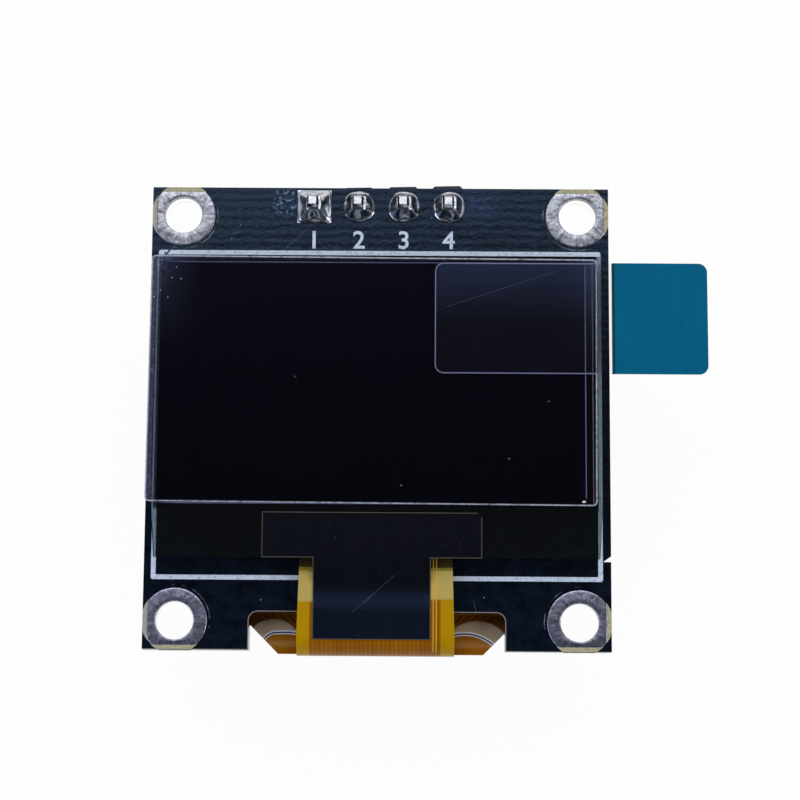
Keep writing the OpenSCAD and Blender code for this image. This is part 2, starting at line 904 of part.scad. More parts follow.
// Moulded body with drafted sides, widest at mid height
module moulding(l, w, h) {
    draft = moulding_draft;
    intersection() {
        along_x(l)
            polygon([
                [-w / 2 + draft, 0], [w / 2 - draft, 0], [w / 2, h / 2],
                [w / 2 - draft, h], [-w / 2 + draft, h], [-w / 2, h / 2]
            ]);
        rotate(90)
            along_x(w)
                polygon([
                    [-l / 2 + draft, 0], [l / 2 - draft, 0], [l / 2, h / 2],
                    [l / 2 - draft, h], [-l / 2 + draft, h], [-l / 2, h / 2]
                ]);
    }
}

// Gull-wing legs that leave a body of width w at height z and stand on their lands
module gull_legs(feet, w, span, z) {
    bend = leg_bend;
    foot = leg_foot;
    for (f = feet)
        translate([f[0], 0, back_land_t])
            rotate(f[1] > 0 ? 0 : 180)
                along_x(leg_w)
                    polygon([
                        [w / 2, z - leg_t / 2], [w / 2, z + leg_t / 2],
                        [w / 2 + bend, z + leg_t / 2], [span / 2 - foot + bend, leg_t],
                        [span / 2, leg_t], [span / 2, 0],
                        [span / 2 - foot, 0], [w / 2 + bend - leg_t, z - leg_t / 2]
                    ]);
}

module regulator_body() {
    color("#1a1b1d")
        on_back(regulator_place)
            translate([0, 0, body_lift])
                moulding(regulator_l, regulator_w, regulator_h);
}

module regulator_legs() {
    color("#c4c7cc")
        on_back(regulator_place)
            gull_legs(regulator_feet, regulator_w, regulator_span, moulding_gap + regulator_h / 2);
}

module diode_body() {
    color("#1a1b1d")
        on_back(diode_place)
            translate([0, 0, body_lift])
                moulding(diode_w, diode_l, diode_h);
}

module diode_legs() {
    color("#c4c7cc")
        on_back(diode_place)
            gull_legs(diode_feet, diode_l, diode_span, moulding_gap + diode_h / 2);
}

// A chip part standing on its lands
module chip_part(place, h) {
    on_back(place, place[2])
        translate([0, 0, back_land_t + h / 2])
            cube([chip_part_l, chip_part_w, h], center = true);
}

module capacitor(i) {
    color("#a98a63")
        chip_part(capacitors[i], capacitor_h);
}

module resistor(i) {
    color("#1c1d20")
        chip_part(resistors[i], resistor_h);
}

pcb();
printed_frame();
for (i = [0:3])
    hole_plating(i);
for (i = [0:PINS - 1])
    header_land(i);
for (i = [0:PINS - 1])
    solder_joint(i);
for (i = [0:PINS - 1])
    header_pin(i);
header_insulator();
panel_tape();
rear_glass();
panel_seal();
light_layers();
front_glass();
polariser();
driver_chip();
flex_cable();
light_shield();
protective_film();
pull_tab();
pull_tab_grip();
back_lands();
flex_solder();
part_solder();
regulator_body();
regulator_legs();
diode_body();
diode_legs();
for (i = [0:len(capacitors) - 1])
    capacitor(i);
for (i = [0:len(resistors) - 1])
    resistor(i);
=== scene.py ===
# %% [markdown]
# # A small OLED display module
# The part is a black circuit board about 26 mm square. It carries a dark glass panel under its
# protective film, four tinned corner holes, a soldered pin header and an amber flex that folds
# round the bottom edge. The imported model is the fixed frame: its shapes are right, so most of the
# work here is in surfaces, and in the small things that are too fine for a solid model.

import math

import bpy
import bmesh
from mathutils import Matrix, Vector


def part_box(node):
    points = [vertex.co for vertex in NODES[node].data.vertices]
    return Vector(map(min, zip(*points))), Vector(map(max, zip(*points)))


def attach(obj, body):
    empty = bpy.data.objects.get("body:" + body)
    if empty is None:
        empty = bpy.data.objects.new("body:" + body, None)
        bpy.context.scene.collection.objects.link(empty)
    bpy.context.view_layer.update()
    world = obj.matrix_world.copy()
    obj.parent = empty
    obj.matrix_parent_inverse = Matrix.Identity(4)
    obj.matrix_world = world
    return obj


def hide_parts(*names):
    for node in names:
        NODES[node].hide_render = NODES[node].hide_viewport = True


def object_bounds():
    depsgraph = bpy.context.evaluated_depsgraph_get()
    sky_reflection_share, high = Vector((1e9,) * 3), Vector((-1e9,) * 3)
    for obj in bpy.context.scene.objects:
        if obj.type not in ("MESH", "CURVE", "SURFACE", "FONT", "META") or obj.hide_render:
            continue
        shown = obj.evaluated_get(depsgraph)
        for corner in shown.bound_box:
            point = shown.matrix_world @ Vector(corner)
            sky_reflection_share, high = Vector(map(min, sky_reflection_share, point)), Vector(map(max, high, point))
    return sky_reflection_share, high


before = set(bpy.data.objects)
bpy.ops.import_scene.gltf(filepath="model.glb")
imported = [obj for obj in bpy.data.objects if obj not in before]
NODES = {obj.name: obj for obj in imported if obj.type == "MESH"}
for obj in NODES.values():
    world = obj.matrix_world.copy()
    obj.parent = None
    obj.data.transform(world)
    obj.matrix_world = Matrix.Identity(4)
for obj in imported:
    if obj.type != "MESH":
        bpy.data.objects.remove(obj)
CAD_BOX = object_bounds()
MM = 0.001
print("CAD nodes:", len(NODES))

# %% [markdown]
# ## The camera
# The module is seen from straight above, tipped a little towards its lower edge. A long lens from
# 120 mm away keeps the board's sides almost parallel, yet still shows a sliver of the lower sides.

# %% Camera
AIM = Vector((1.186, 0.887, 0.0)) * MM
CAMERA_DISTANCE = 120 * MM
TIP = math.radians(9.1317)
SWING = math.radians(0.3936)
ROLL = 0.007086
LENS_MM = 96.66

back = Vector((
    math.sin(SWING),
    -math.sin(TIP) * math.cos(SWING),
    math.cos(TIP) * math.cos(SWING),
))
right = Vector((0, 1, 0)).cross(back).normalized()
up = back.cross(right)
right, up = (
    right * math.cos(ROLL) + up * math.sin(ROLL),
    up * math.cos(ROLL) - right * math.sin(ROLL),
)
camera = bpy.data.objects.new("camera", bpy.data.cameras.new("camera"))
bpy.context.scene.collection.objects.link(camera)
camera.matrix_world = Matrix((
    (right.x, up.x, back.x, 0),
    (right.y, up.y, back.y, 0),
    (right.z, up.z, back.z, 0),
    (0, 0, 0, 1),
))
camera.location = AIM + back * CAMERA_DISTANCE
camera.data.sensor_width = 36
camera.data.lens = LENS_MM
camera.data.clip_start = 1 * MM
bpy.context.scene.camera = camera
bpy.context.scene.view_settings.view_transform = "Standard"
print("camera at", tuple(round(v / MM, 2) for v in camera.location), "mm")

# %% [markdown]
# ## Light and floor
# One broad soft lamp stands behind the header edge, and a cooler one to the lower left. Between
# them the ceiling stays dark, so that the black panel stays black while the solder, which mirrors
# the lamps, keeps its bright and dark streaks. The floor shows white to the camera and to
# mirrors, and keeps the shadow.

# %% Colour, node and lamp helpers
def colour(code, alpha=1.0):
    """sRGB hex to the linear colour that shaders use."""
    parts = [int(code[i:i + 2], 16) / 255 for i in (1, 3, 5)]
    return tuple(c / 12.92 if c <= 0.04045 else ((c + 0.055) / 1.055) ** 2.4 for c in parts) + (alpha,)


def add(tree, kind, sockets=None, **settings):
    """Adds a node. A socket's value may be a number, a colour, an output, or a node to read."""
    made = tree.nodes.new("ShaderNode" + kind)
    for name, value in settings.items():
        setattr(made, name, value)
    for name, value in (sockets or {}).items():
        if isinstance(value, bpy.types.Node):
            value = value.outputs[0]
        if isinstance(value, bpy.types.NodeSocket):
            tree.links.new(value, made.inputs[name])
        else:
            made.inputs[name].default_value = value
    return made


def soft_lamp(name, place_mm, target_mm, size_mm, watts, tint):
    lamp = bpy.data.lights.new(name, "AREA")
    lamp.shape = "RECTANGLE"
    lamp.size, lamp.size_y = size_mm[0] * MM, size_mm[1] * MM
    lamp.energy = watts
    lamp.color = colour(tint)[:3]
    thing = bpy.data.objects.new(name, lamp)
    bpy.context.scene.collection.objects.link(thing)
    thing.location = Vector(place_mm) * MM
    aim = Vector(target_mm) * MM - thing.location
    thing.rotation_euler = aim.to_track_quat("-Z", "Y").to_euler()
    return thing


# %% World, lamps and floor
world = bpy.data.worlds.new("studio")
bpy.context.scene.world = world
world.use_nodes = True
sky = world.node_tree
sky.nodes.clear()
direction = add(sky, "TexCoord")
height = add(sky, "SeparateXYZ", {0: direction.outputs["Generated"]})
ceiling = add(sky, "MapRange", {
    "Value": height.outputs["Z"], "From Min": 0.35, "From Max": 0.93, "To Min": 0.65, "To Max": 0.07,
}, interpolation_type="SMOOTHSTEP")
sky_light = add(sky, "Background", {"Color": colour("#e6eeff"), "Strength": ceiling})
add(sky, "OutputWorld", {"Surface": sky_light})

soft_lamp("window", (-25, 279, 376), (0, 0, 0), (420, 370), 1.15, "#f4f7ff")
soft_lamp("cool_fill", (-330, -120, 230), (0, 0, 0), (220, 260), 0.45, "#c4d9ff")
soft_lamp("side_fill", (330, -60, 200), (0, 0, 0), (160, 240), 0.45, "#fffaf2")

FLOOR_Z = CAD_BOX[0][2] - 0.02 * MM
bpy.ops.mesh.primitive_plane_add(size=3, location=(0, 0, FLOOR_Z))
floor = bpy.context.object
floor.name = "floor"
paper = bpy.data.materials.new("white_paper_floor")
paper.use_nodes = True
tree = paper.node_tree
tree.nodes.clear()
lit = add(tree, "BsdfDiffuse", {"Color": colour("#ffffff")})
glow = add(tree, "Emission", {"Color": (1, 1, 1, 1), "Strength": 1.0})
seen_by = add(tree, "LightPath")
direct = add(tree, "Math", {0: seen_by.outputs["Is Camera Ray"], 1: seen_by.outputs["Is Glossy Ray"]},
             operation="MAXIMUM")
shown = add(tree, "Math", {0: direct, 1: seen_by.outputs["Is Transmission Ray"]}, operation="MAXIMUM")
share = add(tree, "Math", {0: shown, 1: 0.95}, operation="MULTIPLY")
mixed = add(tree, "MixShader", {0: share, 1: lit, 2: glow})
add(tree, "OutputMaterial", {"Surface": mixed})
floor.data.materials.append(paper)
print("floor at", round(FLOOR_Z / MM, 2), "mm")

# %% [markdown]
# ## How a finish is written
# Each finish is one Principled shader. Patterns read Object coordinates in metres, so a grain of
# g millimetres is a noise scale of 1000 / g.

# %% Finish helpers
def new_finish(name, **sockets):
    """A material with one Principled shader; returns the material, its tree and the shader."""
    made = bpy.data.materials.new(name)
    made.use_nodes = True
    made.node_tree.nodes.clear()
    shader = add(made.node_tree, "BsdfPrincipled", {k.replace("_", " "): v for k, v in sockets.items()})
    add(made.node_tree, "OutputMaterial", {"Surface": shader})
    return made, made.node_tree, shader


def dress(finish, *names):
    """Gives CAD nodes a finish in place of the one they were packed with."""
    for name in names:
        slots = NODES[name].data.materials
        slots.clear()
        slots.append(finish)


def numbered(name, count):
    return [f"{name}_{i + 1}" for i in range(count)]

# %% [markdown]
# ## Positions inside a pattern
# Many marks on this part follow its own edges: the bare laminate round the corner holes, the worn
# line of the print, the bright rim of a film. They are found by distance, worked out in
# millimetres from the Object coordinates, so they stay put on the piece from any side.

# %% Distance helpers
def position_mm(tree):
    """Object coordinates in millimetres, as a vector output."""
    place = add(tree, "TexCoord")
    scaled = add(tree, "VectorMath", {0: place.outputs["Object"], "Scale": 1 / MM}, operation="SCALE")
    return scaled.outputs[0]


def axes(tree, position):
    return add(tree, "SeparateXYZ", {0: position}).outputs


def inside_edge(tree, position, centre, half, radius=0.0, turn=0.0):
    """Distance in millimetres from a round-cornered rectangle's edge: negative inside it."""
    turned = add(tree, "VectorRotate", {
        "Vector": position, "Center": (centre[0], centre[1], 0), "Axis": (0, 0, 1), "Angle": -turn,
    })
    flat = add(tree, "VectorMath", {0: turned, 1: (1, 1, 0)}, operation="MULTIPLY")
    centred = add(tree, "VectorMath", {0: flat, 1: (centre[0], centre[1], 0)}, operation="SUBTRACT")
    folded = add(tree, "VectorMath", {0: centred}, operation="ABSOLUTE")
    out = add(tree, "VectorMath", {
        0: folded, 1: (half[0] - radius, half[1] - radius, 0),
    }, operation="SUBTRACT")
    corner = add(tree, "VectorMath", {0: out, 1: (0, 0, 0)}, operation="MAXIMUM")
    reach = add(tree, "VectorMath", {0: corner}, operation="LENGTH").outputs["Value"]
    sides = add(tree, "SeparateXYZ", {0: out})
    deepest = add(tree, "Math", {0: sides.outputs["X"], 1: sides.outputs["Y"]}, operation="MAXIMUM")
    within = add(tree, "Math", {0: deepest, 1: 0.0}, operation="MINIMUM")
    both = add(tree, "Math", {0: reach, 1: within}, operation="ADD")
    return add(tree, "Math", {0: both, 1: radius}, operation="SUBTRACT").outputs[0]


def band(tree, value, sky_reflection_share, high, soft=0.02):
    """1 where value lies between low and high, with soft edges."""
    rise = add(tree, "MapRange", {"Value": value, "From Min": sky_reflection_share - soft, "From Max": sky_reflection_share + soft})
    fall = add(tree, "MapRange", {
        "Value": value, "From Min": high - soft, "From Max": high + soft, "To Min": 1.0, "To Max": 0.0,
    })
    return add(tree, "Math", {0: rise, 1: fall}, operation="MULTIPLY").outputs[0]


def near(tree, position, centre, reach, soft=0.4):
    """1 at centre, fading to 0 at the reach of an ellipse round it."""
    offset = add(tree, "VectorMath", {0: position, 1: (centre[0], centre[1], 0)}, operation="SUBTRACT")
    scaled = add(tree, "VectorMath", {
        0: offset, 1: (1 / reach[0], 1 / reach[1], 0),
    }, operation="MULTIPLY")
    length = add(tree, "VectorMath", {0: scaled}, operation="LENGTH").outputs["Value"]
    return add(tree, "MapRange", {
        "Value": length, "From Min": 1 - soft, "From Max": 1.0, "To Min": 1.0, "To Max": 0.0,
    }).outputs[0]


def stroke(tree, position, start, end, width):
    """1 along a thin straight line between two points, 0 elsewhere."""
    run = (end[0] - start[0], end[1] - start[1])
    middle = ((start[0] + end[0]) / 2, (start[1] + end[1]) / 2)
    half = (math.hypot(*run) / 2, width / 2)
    line = inside_edge(tree, position, middle, half, turn=math.atan2(run[1], run[0]))
    return add(tree, "MapRange", {
        "Value": line, "From Min": -0.01, "From Max": 0.015, "To Min": 1.0, "To Max": 0.0,
    }).outputs[0]


def any_of(tree, shares):
    """The largest of several shares."""
    most = shares[0]
    for share in shares[1:]:
        most = add(tree, "Math", {0: most, 1: share}, operation="MAXIMUM").outputs[0]
    return most


def product(tree, first, second):
    return add(tree, "Math", {0: first, 1: second}, operation="MULTIPLY").outputs[0]


def blend(tree, share, under, over):
    """under where share is 0 and over where it is 1; both are colours."""
    mixed = add(tree, "Mix", {0: share, 6: under, 7: over}, data_type="RGBA")
    return mixed.outputs[2]


# %% [markdown]
# ## The board
# Glass-filled epoxy laminate with a black solder mask, screen printed and cured. The mask is a
# glossy blue-black skin that shows the glass cloth under it as a faint half-millimetre weave. It
# is cut back round the corner holes and at the routed edges, where the tan laminate shows.

# %% Solder mask finish
HOLE_MM = (11.15, 11.45, 0)
MASK_OPENING_MM = 1.83
BOARD_EDGE_MM = (12.9, 13.05)
BOARD_BOTTOM_MM = -BOARD_EDGE_MM[1]
SCUFFS_MM = (
    ((-5.27, 9.57), (-3.94, 10.87)), ((-2.67, 9.51), (-2.42, 9.76)), ((5.31, -10.24), (5.39, -10.62)),
    ((5.39, -10.62), (5.50, -11.04)), ((8.6, 10.2), (9.1, 10.5)), ((-8.39, 10.34), (-7.9, 10.5)),
)
CHIPS_MM = (
    (2.91, 11.35), (-7.89, 10.87), (-8.39, 10.1), (5.9, -10.1), (-6.4, -10.3), (9.6, -11.9), (-10.2, 9.9),
)
mask, tree, shader = new_finish(
    "black_solder_mask_on_laminate", Specular_IOR_Level=0.35, Specular_Tint=(0.45, 0.66, 1, 1))
here = position_mm(tree)
x, y, z = axes(tree, here)
cloud = add(tree, "TexNoise", {"Vector": here, "Scale": 1.1, "Detail": 7.0, "Roughness": 0.7})
skin = add(tree, "ValToRGB", {0: cloud})
skin.color_ramp.elements[0].position, skin.color_ramp.elements[0].color = 0.35, colour("#05080d")
skin.color_ramp.elements[1].position, skin.color_ramp.elements[1].color = 0.7, colour("#121a28")
folded = add(tree, "VectorMath", {0: here}, operation="ABSOLUTE")
flat = add(tree, "VectorMath", {0: folded, 1: (1, 1, 0)}, operation="MULTIPLY")
to_hole = add(tree, "VectorMath", {0: flat, 1: HOLE_MM}, operation="DISTANCE").outputs["Value"]
fibre = add(tree, "TexNoise", {"Vector": here, "Scale": 4.0, "Detail": 8.0, "Roughness": 0.7})
laminate = add(tree, "ValToRGB", {0: fibre})
laminate.color_ramp.elements[0].position, laminate.color_ramp.elements[0].color = 0.3, colour("#8f8866")
laminate.color_ramp.elements[1].position, laminate.color_ramp.elements[1].color = 0.7, colour("#d2c89c")
grey_side = add(tree, "MapRange", {
    "Value": x, "From Min": -12.9, "From Max": -11.5, "To Min": 0.7, "To Max": 0.0,
})
bare_tone = blend(tree, grey_side, laminate, colour("#a3a294"))
near_edge = inside_edge(tree, here, (0, 0), (BOARD_EDGE_MM[0] - 0.3, BOARD_EDGE_MM[1] - 0.3))
strip = add(tree, "Math", {0: near_edge, 1: 0.0}, operation="GREATER_THAN")
opened = add(tree, "Math", {0: to_hole, 1: MASK_OPENING_MM}, operation="LESS_THAN")
bare = product(tree, strip, opened)
faces = blend(tree, bare, skin, bare_tone)
step = band(tree, to_hole, 1.93, 1.97, soft=0.02)
inner_side = add(tree, "Math", {0: near_edge, 1: -0.9}, operation="LESS_THAN")
patchy = add(tree, "MapRange", {"Value": cloud, "From Min": 0.45, "From Max": 0.6})
lit_step = product(tree, product(tree, step, inner_side), patchy)
faces = blend(tree, lit_step, faces, colour("#8c93a0"))
notch = inside_edge(tree, here, (0, BOARD_BOTTOM_MM), (7.05, 2.1), radius=0.5)
routed = band(tree, notch, 0.0, 0.055, soft=0.015)
low_edge = band(tree, y, BOARD_BOTTOM_MM - 0.1, BOARD_BOTTOM_MM + 0.045, soft=0.015)
left_half = add(tree, "MapRange", {
    "Value": x, "From Min": -8.0, "From Max": 9.0, "To Min": 1.0, "To Max": 0.15,
})
low_line = product(tree, low_edge, left_half)
cut_back = add(tree, "Math", {0: routed, 1: low_line}, operation="MAXIMUM")
faces = blend(tree, product(tree, cut_back, 0.8), faces, colour("#9a938c"))
grit = add(tree, "TexNoise", {"Vector": here, "Scale": 4.5, "Detail": 5.0, "Roughness": 0.6})
crust = add(tree, "MapRange", {"Value": grit, "From Min": 0.52, "From Max": 0.62})
flux = product(tree, near(tree, here, (-5.35, 12.2), (0.95, 0.95)), crust)
faces = blend(tree, product(tree, flux, 0.75), faces, colour("#7d98b8"))
film_of_flux = any_of(tree, [
    near(tree, here, (5.5, 12.1), (1.5, 1.1), 0.9), near(tree, here, (-0.6, 11.3), (0.6, 0.6), 0.9)])
smear = product(tree, film_of_flux, add(tree, "MapRange", {"Value": grit, "From Min": 0.4, "From Max": 0.6}))
faces = blend(tree, product(tree, smear, 0.7), faces, colour("#2f4068"))
scuffs = any_of(tree, [stroke(tree, here, start, end, 0.02) for start, end in SCUFFS_MM])
chips = any_of(tree, [near(tree, here, place, (0.035, 0.03)) for place in CHIPS_MM])
faces = blend(tree, product(tree, scuffs, 0.3), faces, colour("#8a94a6"))
faces = blend(tree, product(tree, chips, 0.6), faces, colour("#dde4ee"))
# The board's side walls: the laminate's own grain, painted nearly black as shade.
wall = band(tree, z, -1.185, -0.015, soft=0.005)
sawn_edge_in_painted_shade = blend(tree, fibre, colour("#0d0c0a"), colour("#2b271c"))
tree.links.new(blend(tree, wall, faces, sawn_edge_in_painted_shade), shader.inputs["Base Color"])
cloth = add(tree, "TexWave", {"Vector": here, "Scale": 0.62, "Distortion": 3.0}, bands_direction="X")
cloth_across = add(tree, "TexWave", {"Vector": here, "Scale": 0.62, "Distortion": 3.0}, bands_direction="Y")
weave = add(tree, "Math", {0: cloth.outputs["Fac"], 1: cloth_across.outputs["Fac"]}, operation="ADD")
relief = add(tree, "Math", {0: grit, 1: 4.0, 2: weave}, operation="MULTIPLY_ADD")
crusted = add(tree, "Math", {0: flux, 1: 9.0, 2: relief}, operation="MULTIPLY_ADD")
bump = add(tree, "Bump", {"Height": crusted, "Strength": 0.12, "Distance": 0.02 * MM})
tree.links.new(bump.outputs[0], shader.inputs["Normal"])
dull = add(tree, "MapRange", {"Value": cloud, "To Min": 0.08, "To Max": 0.22})
rough_bare = add(tree, "Math", {0: bare, 1: 0.5, 2: dull}, operation="MULTIPLY_ADD")
tree.links.new(rough_bare.outputs[0], shader.inputs["Roughness"])
dress(mask, "pcb")
print("board dressed")

# %% [markdown]
# ## Metals
# The corner rings and lands are copper that was dipped in tin and blown level with hot air, which
# leaves a soft wavy mirror with fine streaks. The solder has set from liquid, so it is smoother
# and brighter. The pins are drawn brass wire with thin plating, duller than both.

# %% Tin, solder, pin and leg finishes
def metal(name, tint, roughness, wave_mm, wave_strength, streak_mm, streak_strength, stretch=(1, 1, 1)):
    finish, tree, shader = new_finish(name, Metallic=1.0)
    here = position_mm(tree)
    along = add(tree, "VectorMath", {0: here, 1: stretch}, operation="MULTIPLY")
    wave = add(tree, "TexNoise", {"Vector": here, "Scale": 1 / wave_mm, "Detail": 3.0})
    streak = add(tree, "TexNoise", {"Vector": along, "Scale": 1 / streak_mm, "Detail": 5.0, "Roughness": 0.7})
    broad = add(tree, "Bump", {"Height": wave.outputs[0], "Strength": wave_strength, "Distance": 0.05 * MM})
    fine = add(tree, "Bump", {
        "Height": streak.outputs[0], "Strength": streak_strength, "Distance": 0.01 * MM, "Normal": broad,
    })
    tree.links.new(fine.outputs[0], shader.inputs["Normal"])
    tone = blend(tree, streak.outputs[0], colour(tint[0]), colour(tint[1]))
    tree.links.new(tone, shader.inputs["Base Color"])
    gloss = add(tree, "MapRange", {
        "Value": streak.outputs[0], "To Min": roughness[0], "To Max": roughness[1],
    })
    tree.links.new(gloss.outputs[0], shader.inputs["Roughness"])
    return finish


tin = metal("hot_air_levelled_tin", ("#b9b6bd", "#efeef2"), (0.12, 0.3), 0.5, 0.5, 0.16, 0.6, (1, 0.35, 1))
solder = metal("soft_solder", ("#b4b6bc", "#e4e6ea"), (0.14, 0.3), 0.45, 0.35, 0.2, 0.2)
pin_plating = metal(
    "plated_brass_wire", ("#a8a8a8", "#e4e4e6"), (0.08, 0.22), 0.6, 0.1, 0.12, 0.3, (1, 1, 0.1))
dress(tin, *numbered("header_land", 4), "back_lands")
dress(solder, "flex_solder", "part_solder")
dress(pin_plating, *numbered("header_pin", 4))
dress(tin, "regulator_legs", "diode_legs")

# %% Selection and profile helpers
def select_only(thing):
    bpy.ops.object.select_all(action="DESELECT")
    thing.select_set(True)
    bpy.context.view_layer.objects.active = thing


def turned_shell(name, profile_mm, segments):
    """A circle drawn out through a profile of radius and height. The object stays in edit mode."""
    bpy.ops.object.select_all(action="DESELECT")
    (radius, height), rest = profile_mm[0], profile_mm[1:]
    bpy.ops.mesh.primitive_circle_add(
        vertices=segments, radius=radius * MM, fill_type="NOTHING", location=(0, 0, 0))
    shell = bpy.context.object
    shell.name = name
    bpy.ops.object.mode_set(mode="EDIT")
    bpy.ops.transform.translate(value=(0, 0, height * MM))
    for next_radius, next_height in rest:
        bpy.ops.mesh.extrude_region_move(
            TRANSFORM_OT_translate={"value": (0, 0, (next_height - height) * MM)})
        grow = next_radius / radius
        bpy.ops.transform.resize(value=(grow, grow, 1), center_override=(0, 0, 0))
        radius, height = next_radius, next_height
    return shell


def arc_mm(centre, radii, start, end, steps):
    """Points of an elliptical arc in radius and height, from one angle to the other in degrees."""
    angles = [math.radians(start + (end - start) * k / steps) for k in range(steps + 1)]
    return [(centre[0] + radii[0] * math.cos(a), centre[1] + radii[1] * math.sin(a)) for a in angles]


def settle(piece, smooth_degrees):
    """Leaves edit mode with the normals outward and the soft edges smooth."""
    bpy.ops.mesh.select_all(action="SELECT")
    bpy.ops.mesh.normals_make_consistent(inside=False)
    bpy.ops.object.mode_set(mode="OBJECT")
    select_only(piece)
    bpy.ops.object.shade_smooth_by_angle(angle=math.radians(smooth_degrees))


# %% [markdown]
# ## Corner rings
# Hot air leaves each tinned ring with a rounded lip at the hole, a nearly level face and a soft
# outer shoulder, and where the board's edge is close the ring is pressed in to a flat. The shape
# is a circle drawn out through half a section and mirrored through the board. Its points are then
# drawn in along their radii wherever the flats cut them short.

# %% Corner ring pieces
BORE_MM, RING_MM, FOIL_MM, HALF_BOARD_MM = 1.05, 1.80, 0.05, 0.6
LIP_MM, SHOULDER_MM, BARREL_MM = 0.08, 0.10, 0.04
section = [(BORE_MM, 0.0)]
section += arc_mm((BORE_MM + LIP_MM, HALF_BOARD_MM - 0.06), (LIP_MM, 0.06 + FOIL_MM), 180, 90, 6)
section += [(1.35, HALF_BOARD_MM + FOIL_MM - 0.002), (1.52, HALF_BOARD_MM + FOIL_MM - 0.008)]
section += arc_mm((RING_MM - SHOULDER_MM, HALF_BOARD_MM), (SHOULDER_MM, FOIL_MM - 0.014), 90, 0, 6)
section += [(BORE_MM + BARREL_MM, HALF_BOARD_MM), (BORE_MM + BARREL_MM, 0.0)]


def drawn_in(angle, flats):
    """How far the ring reaches at an angle: its full radius, or less where a flat is nearer."""
    reach = RING_MM
    for (nx, ny), far in flats:
        facing = math.cos(angle) * nx + math.sin(angle) * ny
        if facing > 0.3:
            level = far / facing
            reach = -0.03 * math.log(math.exp(-reach / 0.03) + math.exp(-level / 0.03))
    return reach


rings = []
for name in numbered("hole_plating", 4):
    lo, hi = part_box(name)
    side_x, side_y = (1 if (lo + hi).x > 0 else -1), (1 if (lo + hi).y > 0 else -1)
    middle_x = (lo.x if side_x > 0 else hi.x) / MM + side_x * RING_MM
    middle_y = (lo.y if side_y > 0 else hi.y) / MM + side_y * RING_MM
    far_x = abs((hi.x if side_x > 0 else lo.x) / MM - middle_x) + 0.03
    far_y = abs((hi.y if side_y > 0 else lo.y) / MM - middle_y) + 0.03
    ring = turned_shell("ring_" + name, section, 112)
    bpy.ops.object.mode_set(mode="OBJECT")
    mirror = ring.modifiers.new("through_board", "MIRROR")
    mirror.use_axis = (False, False, True)
    mirror.merge_threshold = 0.001 * MM
    select_only(ring)
    bpy.ops.object.modifier_apply(modifier="through_board")
    flats = [((side_x, 0), far_x), ((0, side_y), far_y)]
    for vert in ring.data.vertices:
        radius = math.hypot(vert.co.x, vert.co.y) / MM
        if radius > BORE_MM + 0.001 and abs(vert.co.z / MM) > HALF_BOARD_MM - 0.07:
            angle = math.atan2(vert.co.y, vert.co.x)
            keep = (drawn_in(angle, flats) - BORE_MM) / (RING_MM - BORE_MM)
            if radius > BORE_MM + BARREL_MM + 0.001 or abs(vert.co.z / MM) > HALF_BOARD_MM + 0.001:
                new_radius = BORE_MM + (radius - BORE_MM) * keep
                vert.co.x *= new_radius / radius
                vert.co.y *= new_radius / radius
    bpy.ops.object.mode_set(mode="EDIT")
    settle(ring, 50)
    ring.data.transform(Matrix.Translation(Vector((middle_x, middle_y, -HALF_BOARD_MM)) * MM))
    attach(ring, "root")
    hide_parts(name)
    rings.append(ring)
print("rings:", len(rings), "of", len(rings[0].data.polygons), "faces")

# %% Corner ring finish: streaked tin, with painted shade in the barrel just under the lip
ring_tin, tree, shader = new_finish("hot_air_levelled_tin_on_rings", Metallic=1.0)
here = position_mm(tree)
x, y, z = axes(tree, here)
folded = add(tree, "VectorMath", {0: here}, operation="ABSOLUTE")
flat = add(tree, "VectorMath", {0: folded, 1: (1, 1, 0)}, operation="MULTIPLY")
from_hole = add(tree, "VectorMath", {0: flat, 1: HOLE_MM}, operation="SUBTRACT")
to_hole = add(tree, "VectorMath", {0: from_hole}, operation="LENGTH").outputs["Value"]
sides = add(tree, "SeparateXYZ", {0: from_hole})
angle = add(tree, "Math", {0: sides.outputs["Y"], 1: sides.outputs["X"]}, operation="ARCTAN2")
round_ring = add(tree, "Math", {0: angle, 1: 1.4}, operation="MULTIPLY")
outward = add(tree, "Math", {0: to_hole, 1: 0.35}, operation="MULTIPLY")
corner = add(tree, "VectorMath", {0: here, 1: (0.1, 0.1, 0)}, operation="MULTIPLY")
polar_place = add(tree, "CombineXYZ", {0: round_ring, 1: outward})
stroke_place = add(tree, "VectorMath", {0: polar_place, 1: corner}, operation="ADD")
streak = add(tree, "TexNoise", {"Vector": stroke_place, "Scale": 5.0, "Detail": 6.0, "Roughness": 0.65})
pits = add(tree, "TexNoise", {"Vector": here, "Scale": 7.0, "Detail": 5.0, "Roughness": 0.6})
wave = add(tree, "TexNoise", {"Vector": here, "Scale": 1.1, "Detail": 3.0})
broad = add(tree, "Bump", {"Height": wave, "Strength": 0.5, "Distance": 0.09 * MM})
brushed = add(tree, "Bump", {"Height": streak, "Strength": 0.4, "Distance": 0.012 * MM, "Normal": broad})
fine = add(tree, "Bump", {"Height": pits, "Strength": 0.25, "Distance": 0.008 * MM, "Normal": brushed})
inside = add(tree, "Math", {0: z, 1: -0.08}, operation="LESS_THAN")
inside_back = add(tree, "Math", {0: z, 1: -1.12}, operation="GREATER_THAN")
barrel = product(tree, inside, inside_back)
tree.links.new(fine.outputs[0], shader.inputs["Normal"])
tone = add(tree, "ValToRGB", {0: streak})
tone.color_ramp.elements[0].position, tone.color_ramp.elements[0].color = 0.36, colour("#6e6b76")
tone.color_ramp.elements[1].position, tone.color_ramp.elements[1].color = 0.6, colour("#b6b8be")
lower = add(tree, "MapRange", {"Value": y, "From Min": -9.0, "From Max": 9.0, "To Min": 0.3, "To Max": 0.0})
tone = blend(tree, lower, tone, colour("#8a88b4"))
